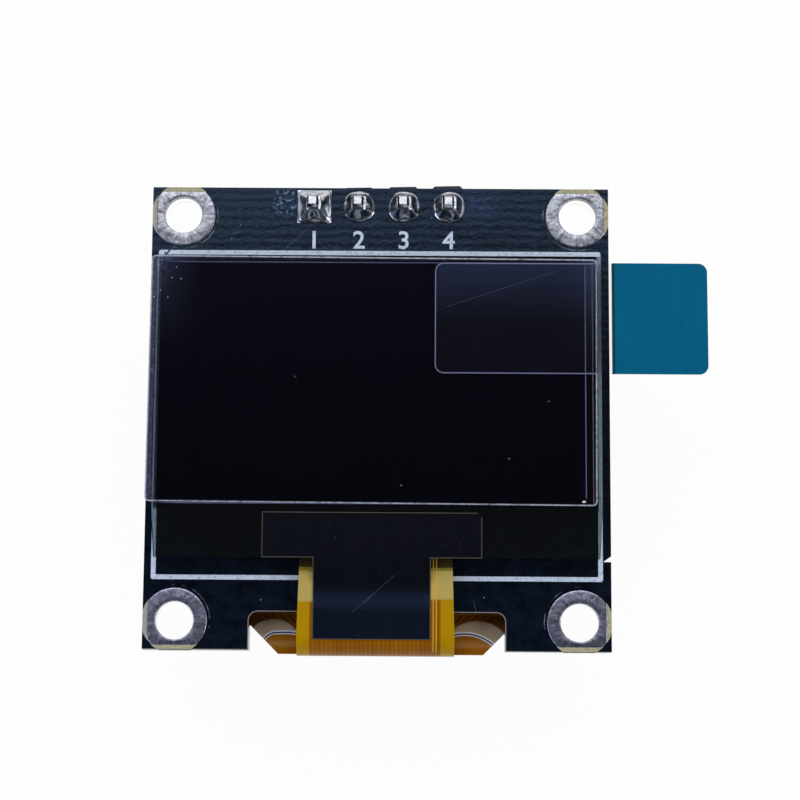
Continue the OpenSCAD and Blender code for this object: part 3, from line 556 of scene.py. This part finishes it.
# A dark band painted just under the lip, standing in for the lip's shade on the barrel.
shade_under_lip = band(tree, z, -0.42, -0.05, soft=0.04)
tone = blend(tree, barrel, tone, colour("#ffffff"))
tone = blend(tree, product(tree, shade_under_lip, 0.85), tone, colour("#3c3438"))
tree.links.new(tone, shader.inputs["Base Color"])
gloss = add(tree, "MapRange", {"Value": pits, "To Min": 0.2, "To Max": 0.42})
calm = add(tree, "Mix", {0: barrel, 2: gloss, 3: 0.05})
tree.links.new(calm.outputs[0], shader.inputs["Roughness"])
for ring in rings:
    ring.data.materials.clear()
    ring.data.materials.append(ring_tin)
print("rings dressed")

# %% [markdown]
# ## Solder joints
# Solder climbs each pin in a hollow sweep from the whole of its land. The first land is square, so
# its joint is a little pillow with its sides drawn in between four ridges. Each is a circle drawn
# out through the sweep, then pulled from round to square where the land or the pin asks for it.

# %% Solder joint pieces
SWEEP_STEPS = 16
PLUG_MM, LAND_TOP_MM, HEAD_MM = 0.48, 0.05, 0.40


def squared(angle, power):
    """How far a shape between a circle (power 2) and a square reaches at an angle."""
    return (abs(math.cos(angle)) ** power + abs(math.sin(angle)) ** power) ** (-1 / power)


joints = []
for index, name in enumerate(numbered("solder_joint", 4)):
    lo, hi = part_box(name)
    foot, top = (hi.x - lo.x) / 2 / MM, hi.z / MM
    square = index == 0
    sweep = [(PLUG_MM, lo.z / MM), (PLUG_MM, LAND_TOP_MM), (foot, LAND_TOP_MM)]
    for k in range(SWEEP_STEPS + 1):
        rise = k / SWEEP_STEPS
        radius = foot - 0.015 - (foot - 0.015 - HEAD_MM) * rise ** 0.62
        sweep.append((radius, LAND_TOP_MM + 0.05 + (top - LAND_TOP_MM - 0.05) * rise))
    sweep += [(0.30, top), (0.22, top - 0.02)]
    joint = turned_shell("fillet_" + name, sweep, 72)
    bpy.ops.mesh.edge_face_add()
    bpy.ops.mesh.select_all(action="DESELECT")
    bpy.ops.object.mode_set(mode="OBJECT")
    for vert in joint.data.vertices:
        radius = math.hypot(vert.co.x, vert.co.y) / MM
        height = vert.co.z / MM
        if height < LAND_TOP_MM - 0.01 or radius < 0.29:
            continue
        angle = math.atan2(vert.co.y, vert.co.x)
        rise = max(0.0, min(1.0, (height - LAND_TOP_MM) / (top - LAND_TOP_MM)))
        middle = 4 * rise * (1 - rise)
        power = (9 - 4 * rise) if square else (2 + 4 * rise)
        reach = squared(angle, power)
        ridge = (1 - math.cos(4 * angle)) / 2
        drawn = 1 + (0.16 * middle * (ridge - 0.6) if square else 0.0)
        slow, quick = math.sin(3 * angle + 1.7 * index), math.sin(5 * angle + 2.3 * index)
        lump = 1 + middle * (0.05 * slow + 0.035 * quick)
        vert.co.x *= reach * drawn * lump
        vert.co.y *= reach * drawn * lump
        vert.co.z += 0.05 * MM * middle * math.sin(2 * angle + index)
    bpy.ops.object.mode_set(mode="EDIT")
    bpy.ops.mesh.select_all(action="DESELECT")
    bpy.ops.mesh.select_non_manifold()
    bpy.ops.mesh.edge_face_add()
    settle(joint, 60)
    joint.data.transform(Matrix.Translation(((lo.x + hi.x) / 2, (lo.y + hi.y) / 2, 0)))
    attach(joint, "root")
    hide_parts(name)
    joint.data.materials.clear()
    joint.data.materials.append(solder)
    joints.append(joint)
print("solder joints:", len(joints))

# %% [markdown]
# ## Print
# White legend ink, screen printed. Seen close it is slightly blue, mottled by the weave below,
# and worn through at a pinhole. The frame line lost a scratch's width at its upper left corner,
# and its left side is darker in patches where the glass edge lies over it.

# %% Legend ink finish
ink, tree, shader = new_finish("white_legend_ink", Roughness=0.55)
here = position_mm(tree)
x, y, z = axes(tree, here)
patch = add(tree, "TexNoise", {"Vector": here, "Scale": 5.0, "Detail": 6.0, "Roughness": 0.75})
tone = add(tree, "ValToRGB", {0: patch})
tone.color_ramp.elements[0].position, tone.color_ramp.elements[0].color = 0.3, colour("#8b9db8")
tone.color_ramp.elements[1].position, tone.color_ramp.elements[1].color = 0.5, colour("#dfe9f6")
scratch = stroke(tree, here, (-12.4, 8.75), (-11.8, 9.5), 0.1)
pinhole = near(tree, here, (-12.15, 9.25), (0.07, 0.07))
# The left frame line is darker in patches where the glass edge lies over it.
left_line = band(tree, x, -12.44, -12.31, soft=0.01)
upper = band(tree, y, -5.3, 9.1, soft=0.05)
in_patches = add(tree, "MapRange", {"Value": patch, "From Min": 0.36, "From Max": 0.44})
dark_patches_along_glass_edge = product(tree, product(tree, left_line, upper), in_patches)
gone = any_of(tree, [scratch, pinhole, dark_patches_along_glass_edge])
tree.links.new(blend(tree, gone, tone, colour("#10151e")), shader.inputs["Base Color"])
bump = add(tree, "Bump", {"Height": patch, "Strength": 0.3, "Distance": 0.01 * MM})
tree.links.new(bump.outputs[0], shader.inputs["Normal"])
dress(ink, "printed_frame")
print("print dressed")

# %% [markdown]
# ## Mouldings, tape and chip
# The header's strip is moulded nylon and the small packages are moulded epoxy: both black, with a
# dull skin. The tape is closed-cell foam, and the driver chip is a sliver of ground silicon.

# %% Moulded and plain finishes
def dull_finish(name, dark, light, grain_mm, roughness, bump_strength=0.3):
    finish, tree, shader = new_finish(name, Roughness=roughness)
    here = position_mm(tree)
    speck = add(tree, "TexNoise", {"Vector": here, "Scale": 1 / grain_mm, "Detail": 6.0, "Roughness": 0.6})
    tree.links.new(blend(tree, speck.outputs[0], colour(dark), colour(light)), shader.inputs["Base Color"])
    bump = add(tree, "Bump", {"Height": speck.outputs[0], "Strength": bump_strength, "Distance": 0.01 * MM})
    tree.links.new(bump.outputs[0], shader.inputs["Normal"])
    return finish


nylon = dull_finish("moulded_black_nylon", "#0b0b0d", "#26272a", 0.08, 0.42)
epoxy = dull_finish("moulded_black_epoxy", "#111113", "#303135", 0.05, 0.55)
foam = dull_finish("closed_cell_foam_tape", "#101012", "#2c2c30", 0.12, 0.8)
silicon = dull_finish("ground_silicon", "#3b3e45", "#63666e", 0.1, 0.3, 0.1)
seal = dull_finish("cured_edge_seal", "#1a1b20", "#303138", 0.3, 0.4, 0.1)
cathode = dull_finish("evaporated_cathode", "#2a2a30", "#3c3c44", 0.6, 0.25, 0.05)
dress(nylon, "header_insulator")
dress(epoxy, "regulator_body", "diode_body")
dress(foam, "panel_tape")
dress(silicon, "driver_chip")
dress(seal, "panel_seal")
dress(cathode, "light_layers")
print("mouldings dressed")

# %% [markdown]
# ## Panel
# Two sheets of cut glass with a dark polariser on top. Off, the panel is black with a trace of
# violet. The glass shows only as the ledge below the polariser and as a clear rim beside it.

# %% Glass and polariser finishes
glass, tree, shader = new_finish(
    "cut_sheet_glass", Transmission_Weight=1.0, Roughness=0.02, Base_Color=colour("#aab4b4"), IOR=1.52)
here = position_mm(tree)
film_of_dirt = add(tree, "TexNoise", {"Vector": here, "Scale": 2.5, "Detail": 8.0, "Roughness": 0.7})
haze = add(tree, "MapRange", {"Value": film_of_dirt, "From Min": 0.45, "To Min": 0.01, "To Max": 0.12})
tree.links.new(haze.outputs[0], shader.inputs["Roughness"])
dress(glass, "front_glass", "rear_glass")

polar, tree, shader = new_finish(
    "dark_polarising_sheet", Roughness=0.22, Specular_IOR_Level=0.08, Specular_Tint=(0.5, 0.5, 1, 1))
here = position_mm(tree)
x, y, z = axes(tree, here)
cloud = add(tree, "TexNoise", {"Vector": here, "Scale": 0.35, "Detail": 4.0, "Roughness": 0.6})
body = blend(tree, cloud, colour("#06060b"), colour("#0a0911"))
lo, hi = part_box("polariser")
sheet = inside_edge(
    tree, here, ((lo.x + hi.x) / 2 / MM, (lo.y + hi.y) / 2 / MM),
    ((hi.x - lo.x) / 2 / MM, (hi.y - lo.y) / 2 / MM))
cut = band(tree, sheet, -0.055, 0.2, soft=0.015)
right_side = add(tree, "MapRange", {
    "Value": x, "From Min": -12.0, "From Max": -10.8, "To Min": 0.15, "To Max": 0.75,
})
body = blend(tree, product(tree, cut, right_side), body, colour("#77749a"))
tree.links.new(body, shader.inputs["Base Color"])
dress(polar, "polariser")
print("panel dressed")

# %% [markdown]
# ## Films
# The protective film and the pull strip are clear and thin: they show by their edges, which catch
# the light, and by a slight haze. The strip's free end is printed teal on one side.

# %% Clear film finishes
FILM_SPECKS_MM = (
    (-11.54, 7.45), (-12.16, 6.74), (-11.04, 7.40), (-11.75, 6.35), (-12.51, 6.37), (-11.3, 8.05),
    (7.2, -2.6), (-4.6, 1.9), (1.3, -4.1), (9.4, 0.6),
)


def film_edge(tree, here, node_name, radius=0.0, turn=0.0):
    """Distance from the outline of a film that may lie slightly turned."""
    lo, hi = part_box(node_name)
    centre = ((lo.x + hi.x) / 2 / MM, (lo.y + hi.y) / 2 / MM)
    half = ((hi.x - lo.x) / 2 / MM, (hi.y - lo.y) / 2 / MM)
    spread = abs(math.sin(turn))
    half = (half[0] - half[1] * spread, half[1] - half[0] * spread)
    return inside_edge(tree, here, centre, half, radius, turn)


def layered(tree, shader, base, layers):
    """Lays marks, each a share, colour and opacity, over a clear film's own colour and haze."""
    body, solid = base
    for share, tint, opacity in layers:
        body = blend(tree, share, body, colour(tint))
        solid = add(tree, "Mix", {0: share, 2: solid, 3: opacity}).outputs[0]
    tree.links.new(body, shader.inputs["Base Color"])
    tree.links.new(solid, shader.inputs["Alpha"])


protective, tree, shader = new_finish("clear_protective_film", Roughness=0.25, Specular_IOR_Level=0.3)
here = position_mm(tree)
x, y, z = axes(tree, here)
edge = film_edge(tree, here, "protective_film", 0.25, math.radians(-0.3))
flaws = add(tree, "TexNoise", {"Vector": here, "Scale": 3.0, "Detail": 8.0, "Roughness": 0.75})
broken = add(tree, "MapRange", {
    "Value": flaws, "From Min": 0.3, "From Max": 0.55, "To Min": 0.4, "To Max": 1.0,
})
rim = product(tree, band(tree, edge, -0.075, 0.3, soft=0.02), broken)
# A faint blue-grey tint towards the film's upper outer corners.
folded = add(tree, "Math", {0: x}, operation="ABSOLUTE")
outer = add(tree, "MapRange", {"Value": folded, "From Min": 9.8, "From Max": 11.9})
high = add(tree, "MapRange", {"Value": y, "From Min": 3.2, "From Max": 8.6})
pale_upper_corners = product(tree, outer, high)
second = product(tree, band(tree, x, 11.80, 11.86, soft=0.015), broken)
over_board = add(tree, "Math", {0: x, 1: -12.42}, operation="LESS_THAN")
top_left = near(tree, here, (-12.3, 8.2), (0.9, 1.4), 0.6)
# Pale lines along the film's wrinkles are painted highlights on its creases.
wrinkle = add(tree, "TexNoise", {"Vector": here, "Scale": 2.2, "Detail": 2.0, "Distortion": 1.5})
crease_highlights = product(tree, band(tree, wrinkle, 0.485, 0.5, soft=0.006), any_of(tree, [over_board, top_left]))
specks = any_of(tree, [near(tree, here, place, (0.035, 0.03)) for place in FILM_SPECKS_MM])
corner = near(tree, here, (11.3, -4.95), (0.13, 0.07))
clear_layers = [
    (pale_upper_corners, "#6d7ba3", 0.10), (over_board, "#4a4860", 0.34), (crease_highlights, "#8d93a8", 0.55),
    (second, "#7d7680", 0.4), (rim, "#c4c8d2", 0.72), (any_of(tree, [specks, corner]), "#f2f6fa", 0.85),
]
layered(tree, shader, (colour("#14131f"), 0.03), clear_layers)
dress(protective, "protective_film")

strip, tree, shader = new_finish("clear_pull_strip", Roughness=0.25, Specular_IOR_Level=0.3)
here = position_mm(tree)
x, y, z = axes(tree, here)
edge = film_edge(tree, here, "pull_tab", 0.5)
rim = band(tree, edge, -0.06, 0.3, soft=0.02)
over_panel = add(tree, "Math", {0: x, 1: 12.0}, operation="LESS_THAN")
high = add(tree, "MapRange", {"Value": y, "From Min": 5.0, "From Max": 8.4})
scratch = stroke(tree, here, (3.66, 5.85), (10.04, 7.99), 0.025)
tacky = band(tree, x, 12.9, 13.02, soft=0.01)
clear_layers = [
    (product(tree, over_panel, high), "#5d709d", 0.07), (product(tree, rim, over_panel), "#8c88ac", 0.6),
    (scratch, "#8088a8", 0.12), (tacky, "#00404c", 0.9),
]
layered(tree, shader, (colour("#2a2c3a"), 0.05), clear_layers)
dress(strip, "pull_tab")

teal, tree, shader = new_finish("teal_printed_film", Roughness=0.4, Specular_IOR_Level=0.05)
here = position_mm(tree)
x, y, z = axes(tree, here)
along = add(tree, "VectorMath", {0: here, 1: (2.2, 0.25, 1)}, operation="MULTIPLY")
streak = add(tree, "TexNoise", {"Vector": along, "Scale": 1.2, "Detail": 4.0})
body = blend(tree, streak, colour("#005876"), colour("#006a8a"))
first = band(tree, x, 12.9, 13.06, soft=0.02)
tree.links.new(blend(tree, first, body, colour("#003f4a")), shader.inputs["Base Color"])
dress(teal, "pull_tab_grip")
print("films dressed")

# %% [markdown]
# ## Black film on the ledge
# A thin black adhesive film keeps stray light off the contacts. It lies on the glass, slopes down
# and sticks to the flex, so it creases a little and shows pale cut edges.

# %% Black film finish
shield, tree, shader = new_finish(
    "black_adhesive_film", Roughness=0.34, Specular_IOR_Level=0.12, Specular_Tint=(0.6, 0.72, 1, 1))
here = position_mm(tree)
x, y, z = axes(tree, here)
along = add(tree, "VectorMath", {0: here, 1: (1, 0.18, 1)}, operation="MULTIPLY")
streak = add(tree, "TexNoise", {"Vector": along, "Scale": 1.1, "Detail": 6.0, "Roughness": 0.65})
upper = blend(tree, streak, colour("#07070c"), colour("#0d0c12"))
# The lower, flat part is painted bluer than the rest, as a reflection of the sky.
lower = blend(tree, streak, colour("#070a13"), colour("#121828"))
sky_reflection_share = add(tree, "MapRange", {"Value": y, "From Min": -9.5, "From Max": -10.2})
body = blend(tree, sky_reflection_share, upper, lower)
sheen = band(tree, y, -10.75, -9.95, soft=0.2)
body = blend(tree, product(tree, sheen, 0.35), body, colour("#242d44"))
wide = inside_edge(tree, here, (-0.29, -6.82), (6.025, 1.25))
neck = inside_edge(tree, here, (-0.29, -9.2), (3.23, 3.28))
outline = add(tree, "Math", {0: wide, 1: neck}, operation="MINIMUM")
cut_edge = band(tree, outline, -0.04, 0.2, soft=0.015)
scuffs = any_of(tree, [
    stroke(tree, here, (-1.35, -10.98), (0.99, -8.95), 0.015),
    stroke(tree, here, (-0.7, -10.5), (-0.1, -9.9), 0.02),
])
lint = add(tree, "TexNoise", {"Vector": here, "Scale": 9.0, "Detail": 3.0, "Roughness": 0.6})
dust = add(tree, "MapRange", {"Value": lint, "From Min": 0.72, "From Max": 0.76})
body = blend(tree, product(tree, scuffs, 0.3), body, colour("#7a8090"))
body = blend(tree, product(tree, dust, 0.6), body, colour("#9aa4b4"))
body = blend(tree, product(tree, cut_edge, 0.35), body, colour("#8f8672"))
tree.links.new(body, shader.inputs["Base Color"])
bump = add(tree, "Bump", {"Height": streak, "Strength": 0.35, "Distance": 0.02 * MM})
tree.links.new(bump.outputs[0], shader.inputs["Normal"])
dress(shield, "light_shield")
print("black film dressed")

# %% [markdown]
# ## Flex
# Amber polyimide over copper tracks. Over the board it has a painted pale tan reflection, with a painted
# shadow by the glass edge; past the notch the light comes through and it turns a deep amber, and the tracks
# show as fine lines that fan out to the tail. In the fan behind the notch, the board's shade, the
# reflections and two bright arcs at the bend are painted.

# %% Polyimide finish
flex, tree, shader = new_finish(
    "amber_polyimide_over_copper", Roughness=0.3, Specular_IOR_Level=0.25, Specular_Tint=(1, 0.85, 0.5, 1))
here = position_mm(tree)
x, y, z = axes(tree, here)
behind = add(tree, "Math", {0: z, 1: -0.6}, operation="LESS_THAN")
front = add(tree, "Math", {0: z, 1: 0.3}, operation="GREATER_THAN")
spread = add(tree, "MapRange", {
    "Value": y, "From Min": -13.2, "From Max": -9.3, "To Min": 3.6, "To Max": 9.0,
})
half_width = add(tree, "Mix", {0: behind, 2: 3.6, 3: spread})
centred = add(tree, "Math", {0: x, 1: 0.1}, operation="ADD")
across = add(tree, "Math", {0: centred, 1: half_width}, operation="DIVIDE")
counted = add(tree, "Math", {0: across, 1: 15.0}, operation="MULTIPLY")
phase = add(tree, "Math", {0: counted}, operation="FRACT")
line = band(tree, phase, 0.2, 0.7, soft=0.1)
off_axis = add(tree, "Math", {0: across}, operation="ABSOLUTE")
tracked = add(tree, "Math", {0: off_axis, 1: 1.0}, operation="LESS_THAN")
track = product(tree, line, tracked)
cloud = add(tree, "TexNoise", {"Vector": here, "Scale": 1.2, "Detail": 5.0})
runs = add(tree, "VectorMath", {0: here, 1: (1, 0.06, 0.06)}, operation="MULTIPLY")
bands_of_copper = add(tree, "TexNoise", {"Vector": runs, "Scale": 1.3, "Detail": 3.0})
amber = blend(tree, cloud, colour("#b08400"), colour("#be9000"))
brown = blend(tree, bands_of_copper, colour("#7a3c00"), colour("#b87808"))
under_tracks = blend(tree, product(tree, track, 0.35), brown, colour("#643400"))
body = blend(tree, tracked, amber, under_tracks)
print("flex tracks laid out")

# %% Where the flex lies over the board, and its fan behind the notch
# Over the board the flex gets a painted pale tan reflection; nearer the glass edge the olive band and the
# shade band are its painted shadow.
slant = add(tree, "Math", {0: x, 1: -0.02, 2: y}, operation="MULTIPLY_ADD")
over_board = band(tree, slant, -10.34, -8.7, soft=0.06)
olive = band(tree, y, -8.7, -8.54, soft=0.02)
shade = band(tree, y, -8.54, -6.0, soft=0.03)
for share, tint in ((over_board, "#c0a85a"), (olive, "#8a7c30"), (shade, "#3c2c12")):
    body = blend(tree, product(tree, share, front), body, colour(tint))


def ring_edge(tree, here, centre, radius):
    """Distance outside a circle's line, negative inside it."""
    flat = add(tree, "VectorMath", {0: here, 1: (1, 1, 0)}, operation="MULTIPLY")
    reach = add(tree, "VectorMath", {0: flat, 1: (*centre, 0)}, operation="DISTANCE").outputs["Value"]
    return add(tree, "Math", {0: reach, 1: radius}, operation="SUBTRACT").outputs[0]


left = add(tree, "Math", {0: x, 1: 0.0}, operation="LESS_THAN")
left_flat = add(tree, "MapRange", {"Value": x, "From Min": -5.6, "From Max": -5.4})
left_arc = add(tree, "Mix", {
    0: left_flat, 2: ring_edge(tree, here, (-5.547, -12.904), 0.96),
    3: ring_edge(tree, here, (-5.089, -15.793), 3.857),
})
arc = add(tree, "Mix", {0: left, 2: ring_edge(tree, here, (4.843, -14.454), 2.491), 3: left_arc}).outputs[0]
rim_of_tan = add(tree, "Mix", {
    0: left, 2: ring_edge(tree, here, (5.535, -13.43), 2.089),
    3: ring_edge(tree, here, (-5.743, -12.861), 1.564),
}).outputs[0]
past = add(tree, "MapRange", {"Value": rim_of_tan, "From Min": -0.03, "From Max": 0.05})
under_arc = add(tree, "MapRange", {"Value": arc, "From Min": 0.02, "From Max": -0.02})
near_fold = band(tree, y, -13.5, -11.0, soft=0.02)
wing = product(tree, behind, near_fold)
# In the fan, the outer part is painted darker as the board's shade, the tan crescent is a painted reflection,
# the inner part by the fold is painted darker as a reflection, and the two pale arcs with the dark gap
# between them are painted highlights where the flex bends.
tan = blend(tree, cloud, colour("#a08a6c"), colour("#bda88a"))
outer = blend(tree, track, colour("#5e2e00"), colour("#7c4600"))
inner = blend(tree, cloud, colour("#8a4c00"), colour("#a5680a"))
fan = blend(tree, past, tan, outer)
fan = blend(tree, under_arc, fan, inner)
painted_highlight_arcs = any_of(tree, [band(tree, arc, -0.035, 0.04, soft=0.015), band(tree, arc, -0.175, -0.12, soft=0.012)])
dark_gap_in_highlights = band(tree, arc, -0.115, -0.045, soft=0.012)
fan = blend(tree, dark_gap_in_highlights, fan, colour("#1e2436"))
fan = blend(tree, painted_highlight_arcs, fan, colour("#dfe6f0"))
body = blend(tree, wing, body, fan)
pair = add(tree, "Math", {0: x, 1: 3.175}, operation="SUBTRACT")
pair_side = add(tree, "Math", {0: pair}, operation="ABSOLUTE")
gold = band(tree, pair_side, 0.06, 0.11, soft=0.02)
body = blend(tree, product(tree, gold, front), body, colour("#e2b040"))
tree.links.new(body, shader.inputs["Base Color"])
bump = add(tree, "Bump", {"Height": track, "Strength": 0.12, "Distance": 0.01 * MM})
tree.links.new(bump.outputs[0], shader.inputs["Normal"])
dress(flex, "flex_cable")
print("flex dressed")

# %% [markdown]
# ## Chip parts
# Chip capacitors and resistors are sintered blocks with tinned ends that wrap round the corners.
# Each block is modelled with its ends as a second finish and fitted to its CAD part.

# %% Chip part pieces
capacitor_body = dull_finish("fired_tan_ceramic", "#7e6343", "#b08d64", 0.06, 0.4)
resistor_body = dull_finish("glazed_resistor_top", "#0c0c0e", "#1d1e22", 0.06, 0.3)
alumina = dull_finish("white_alumina", "#c9c6bd", "#e6e3da", 0.05, 0.6)


def chip_part(name, node_name, finish):
    """A bevelled block with wrapped metal ends, fitted to a CAD chip part."""
    lo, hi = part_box(node_name)
    size, middle = hi - lo, (hi + lo) / 2
    long_x = size.x > size.y
    bpy.ops.object.select_all(action="DESELECT")
    bpy.ops.mesh.primitive_cube_add(size=1, location=(0, 0, 0))
    block = bpy.context.object
    block.name = name
    bpy.ops.object.mode_set(mode="EDIT")
    bpy.ops.transform.resize(value=tuple(size))
    mesh = bmesh.from_edit_mesh(block.data)
    half = (size.x if long_x else size.y) / 2
    axis = (1, 0, 0) if long_x else (0, 1, 0)
    for side in (-1, 1):
        bpy.ops.mesh.select_all(action="SELECT")
        bpy.ops.mesh.bisect(plane_co=Vector(axis) * side * (half - 0.3 * MM), plane_no=axis)
    bpy.ops.object.mode_set(mode="OBJECT")
    block.data.materials.append(finish)
    block.data.materials.append(tin)
    for face in block.data.polygons:
        away = abs(face.center.x if long_x else face.center.y)
        face.material_index = 1 if away > half - 0.29 * MM else 0
    bevel = block.modifiers.new("round", "BEVEL")
    bevel.width, bevel.segments, bevel.limit_method = 0.04 * MM, 2, "ANGLE"
    select_only(block)
    bpy.ops.object.modifier_apply(modifier="round")
    bpy.ops.object.shade_smooth_by_angle(angle=math.radians(40))
    block.data.transform(Matrix.Translation(middle))
    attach(block, "root")
    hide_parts(node_name)
    return block


for name in numbered("capacitor", 8):
    chip_part("chip_" + name, name, capacitor_body)
for name in numbered("resistor", 5):
    chip_part("chip_" + name, name, resistor_body)
print("chip parts made")

# %% [markdown]
# ## Pin numbers
# The four lands are numbered in the same white ink. Each figure is a text object made into a
# mesh and laid on the mask.

# %% Pin numbers
FIGURE_HEIGHT = 1.0 * MM
FIGURE_LOW = 9.55 * MM
for i, name in enumerate(numbered("header_land", 4)):
    lo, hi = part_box(name)
    bpy.ops.object.select_all(action="DESELECT")
    bpy.ops.object.text_add(location=(0, 0, 0))
    figure = bpy.context.object
    figure.data.body = str(i + 1)
    figure.data.size = FIGURE_HEIGHT / 0.7
    figure.data.align_x = "CENTER"
    figure.data.extrude = 0.01 * MM
    figure.data.offset = 0.02 * MM
    bpy.ops.object.convert(target="MESH")
    figure.name = f"pin_number_{i + 1}"
    figure.data.transform(Matrix.Translation(((lo.x + hi.x) / 2, FIGURE_LOW, 0.01 * MM)))
    figure.data.materials.clear()
    figure.data.materials.append(ink)
    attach(figure, "root")
print("figures printed")
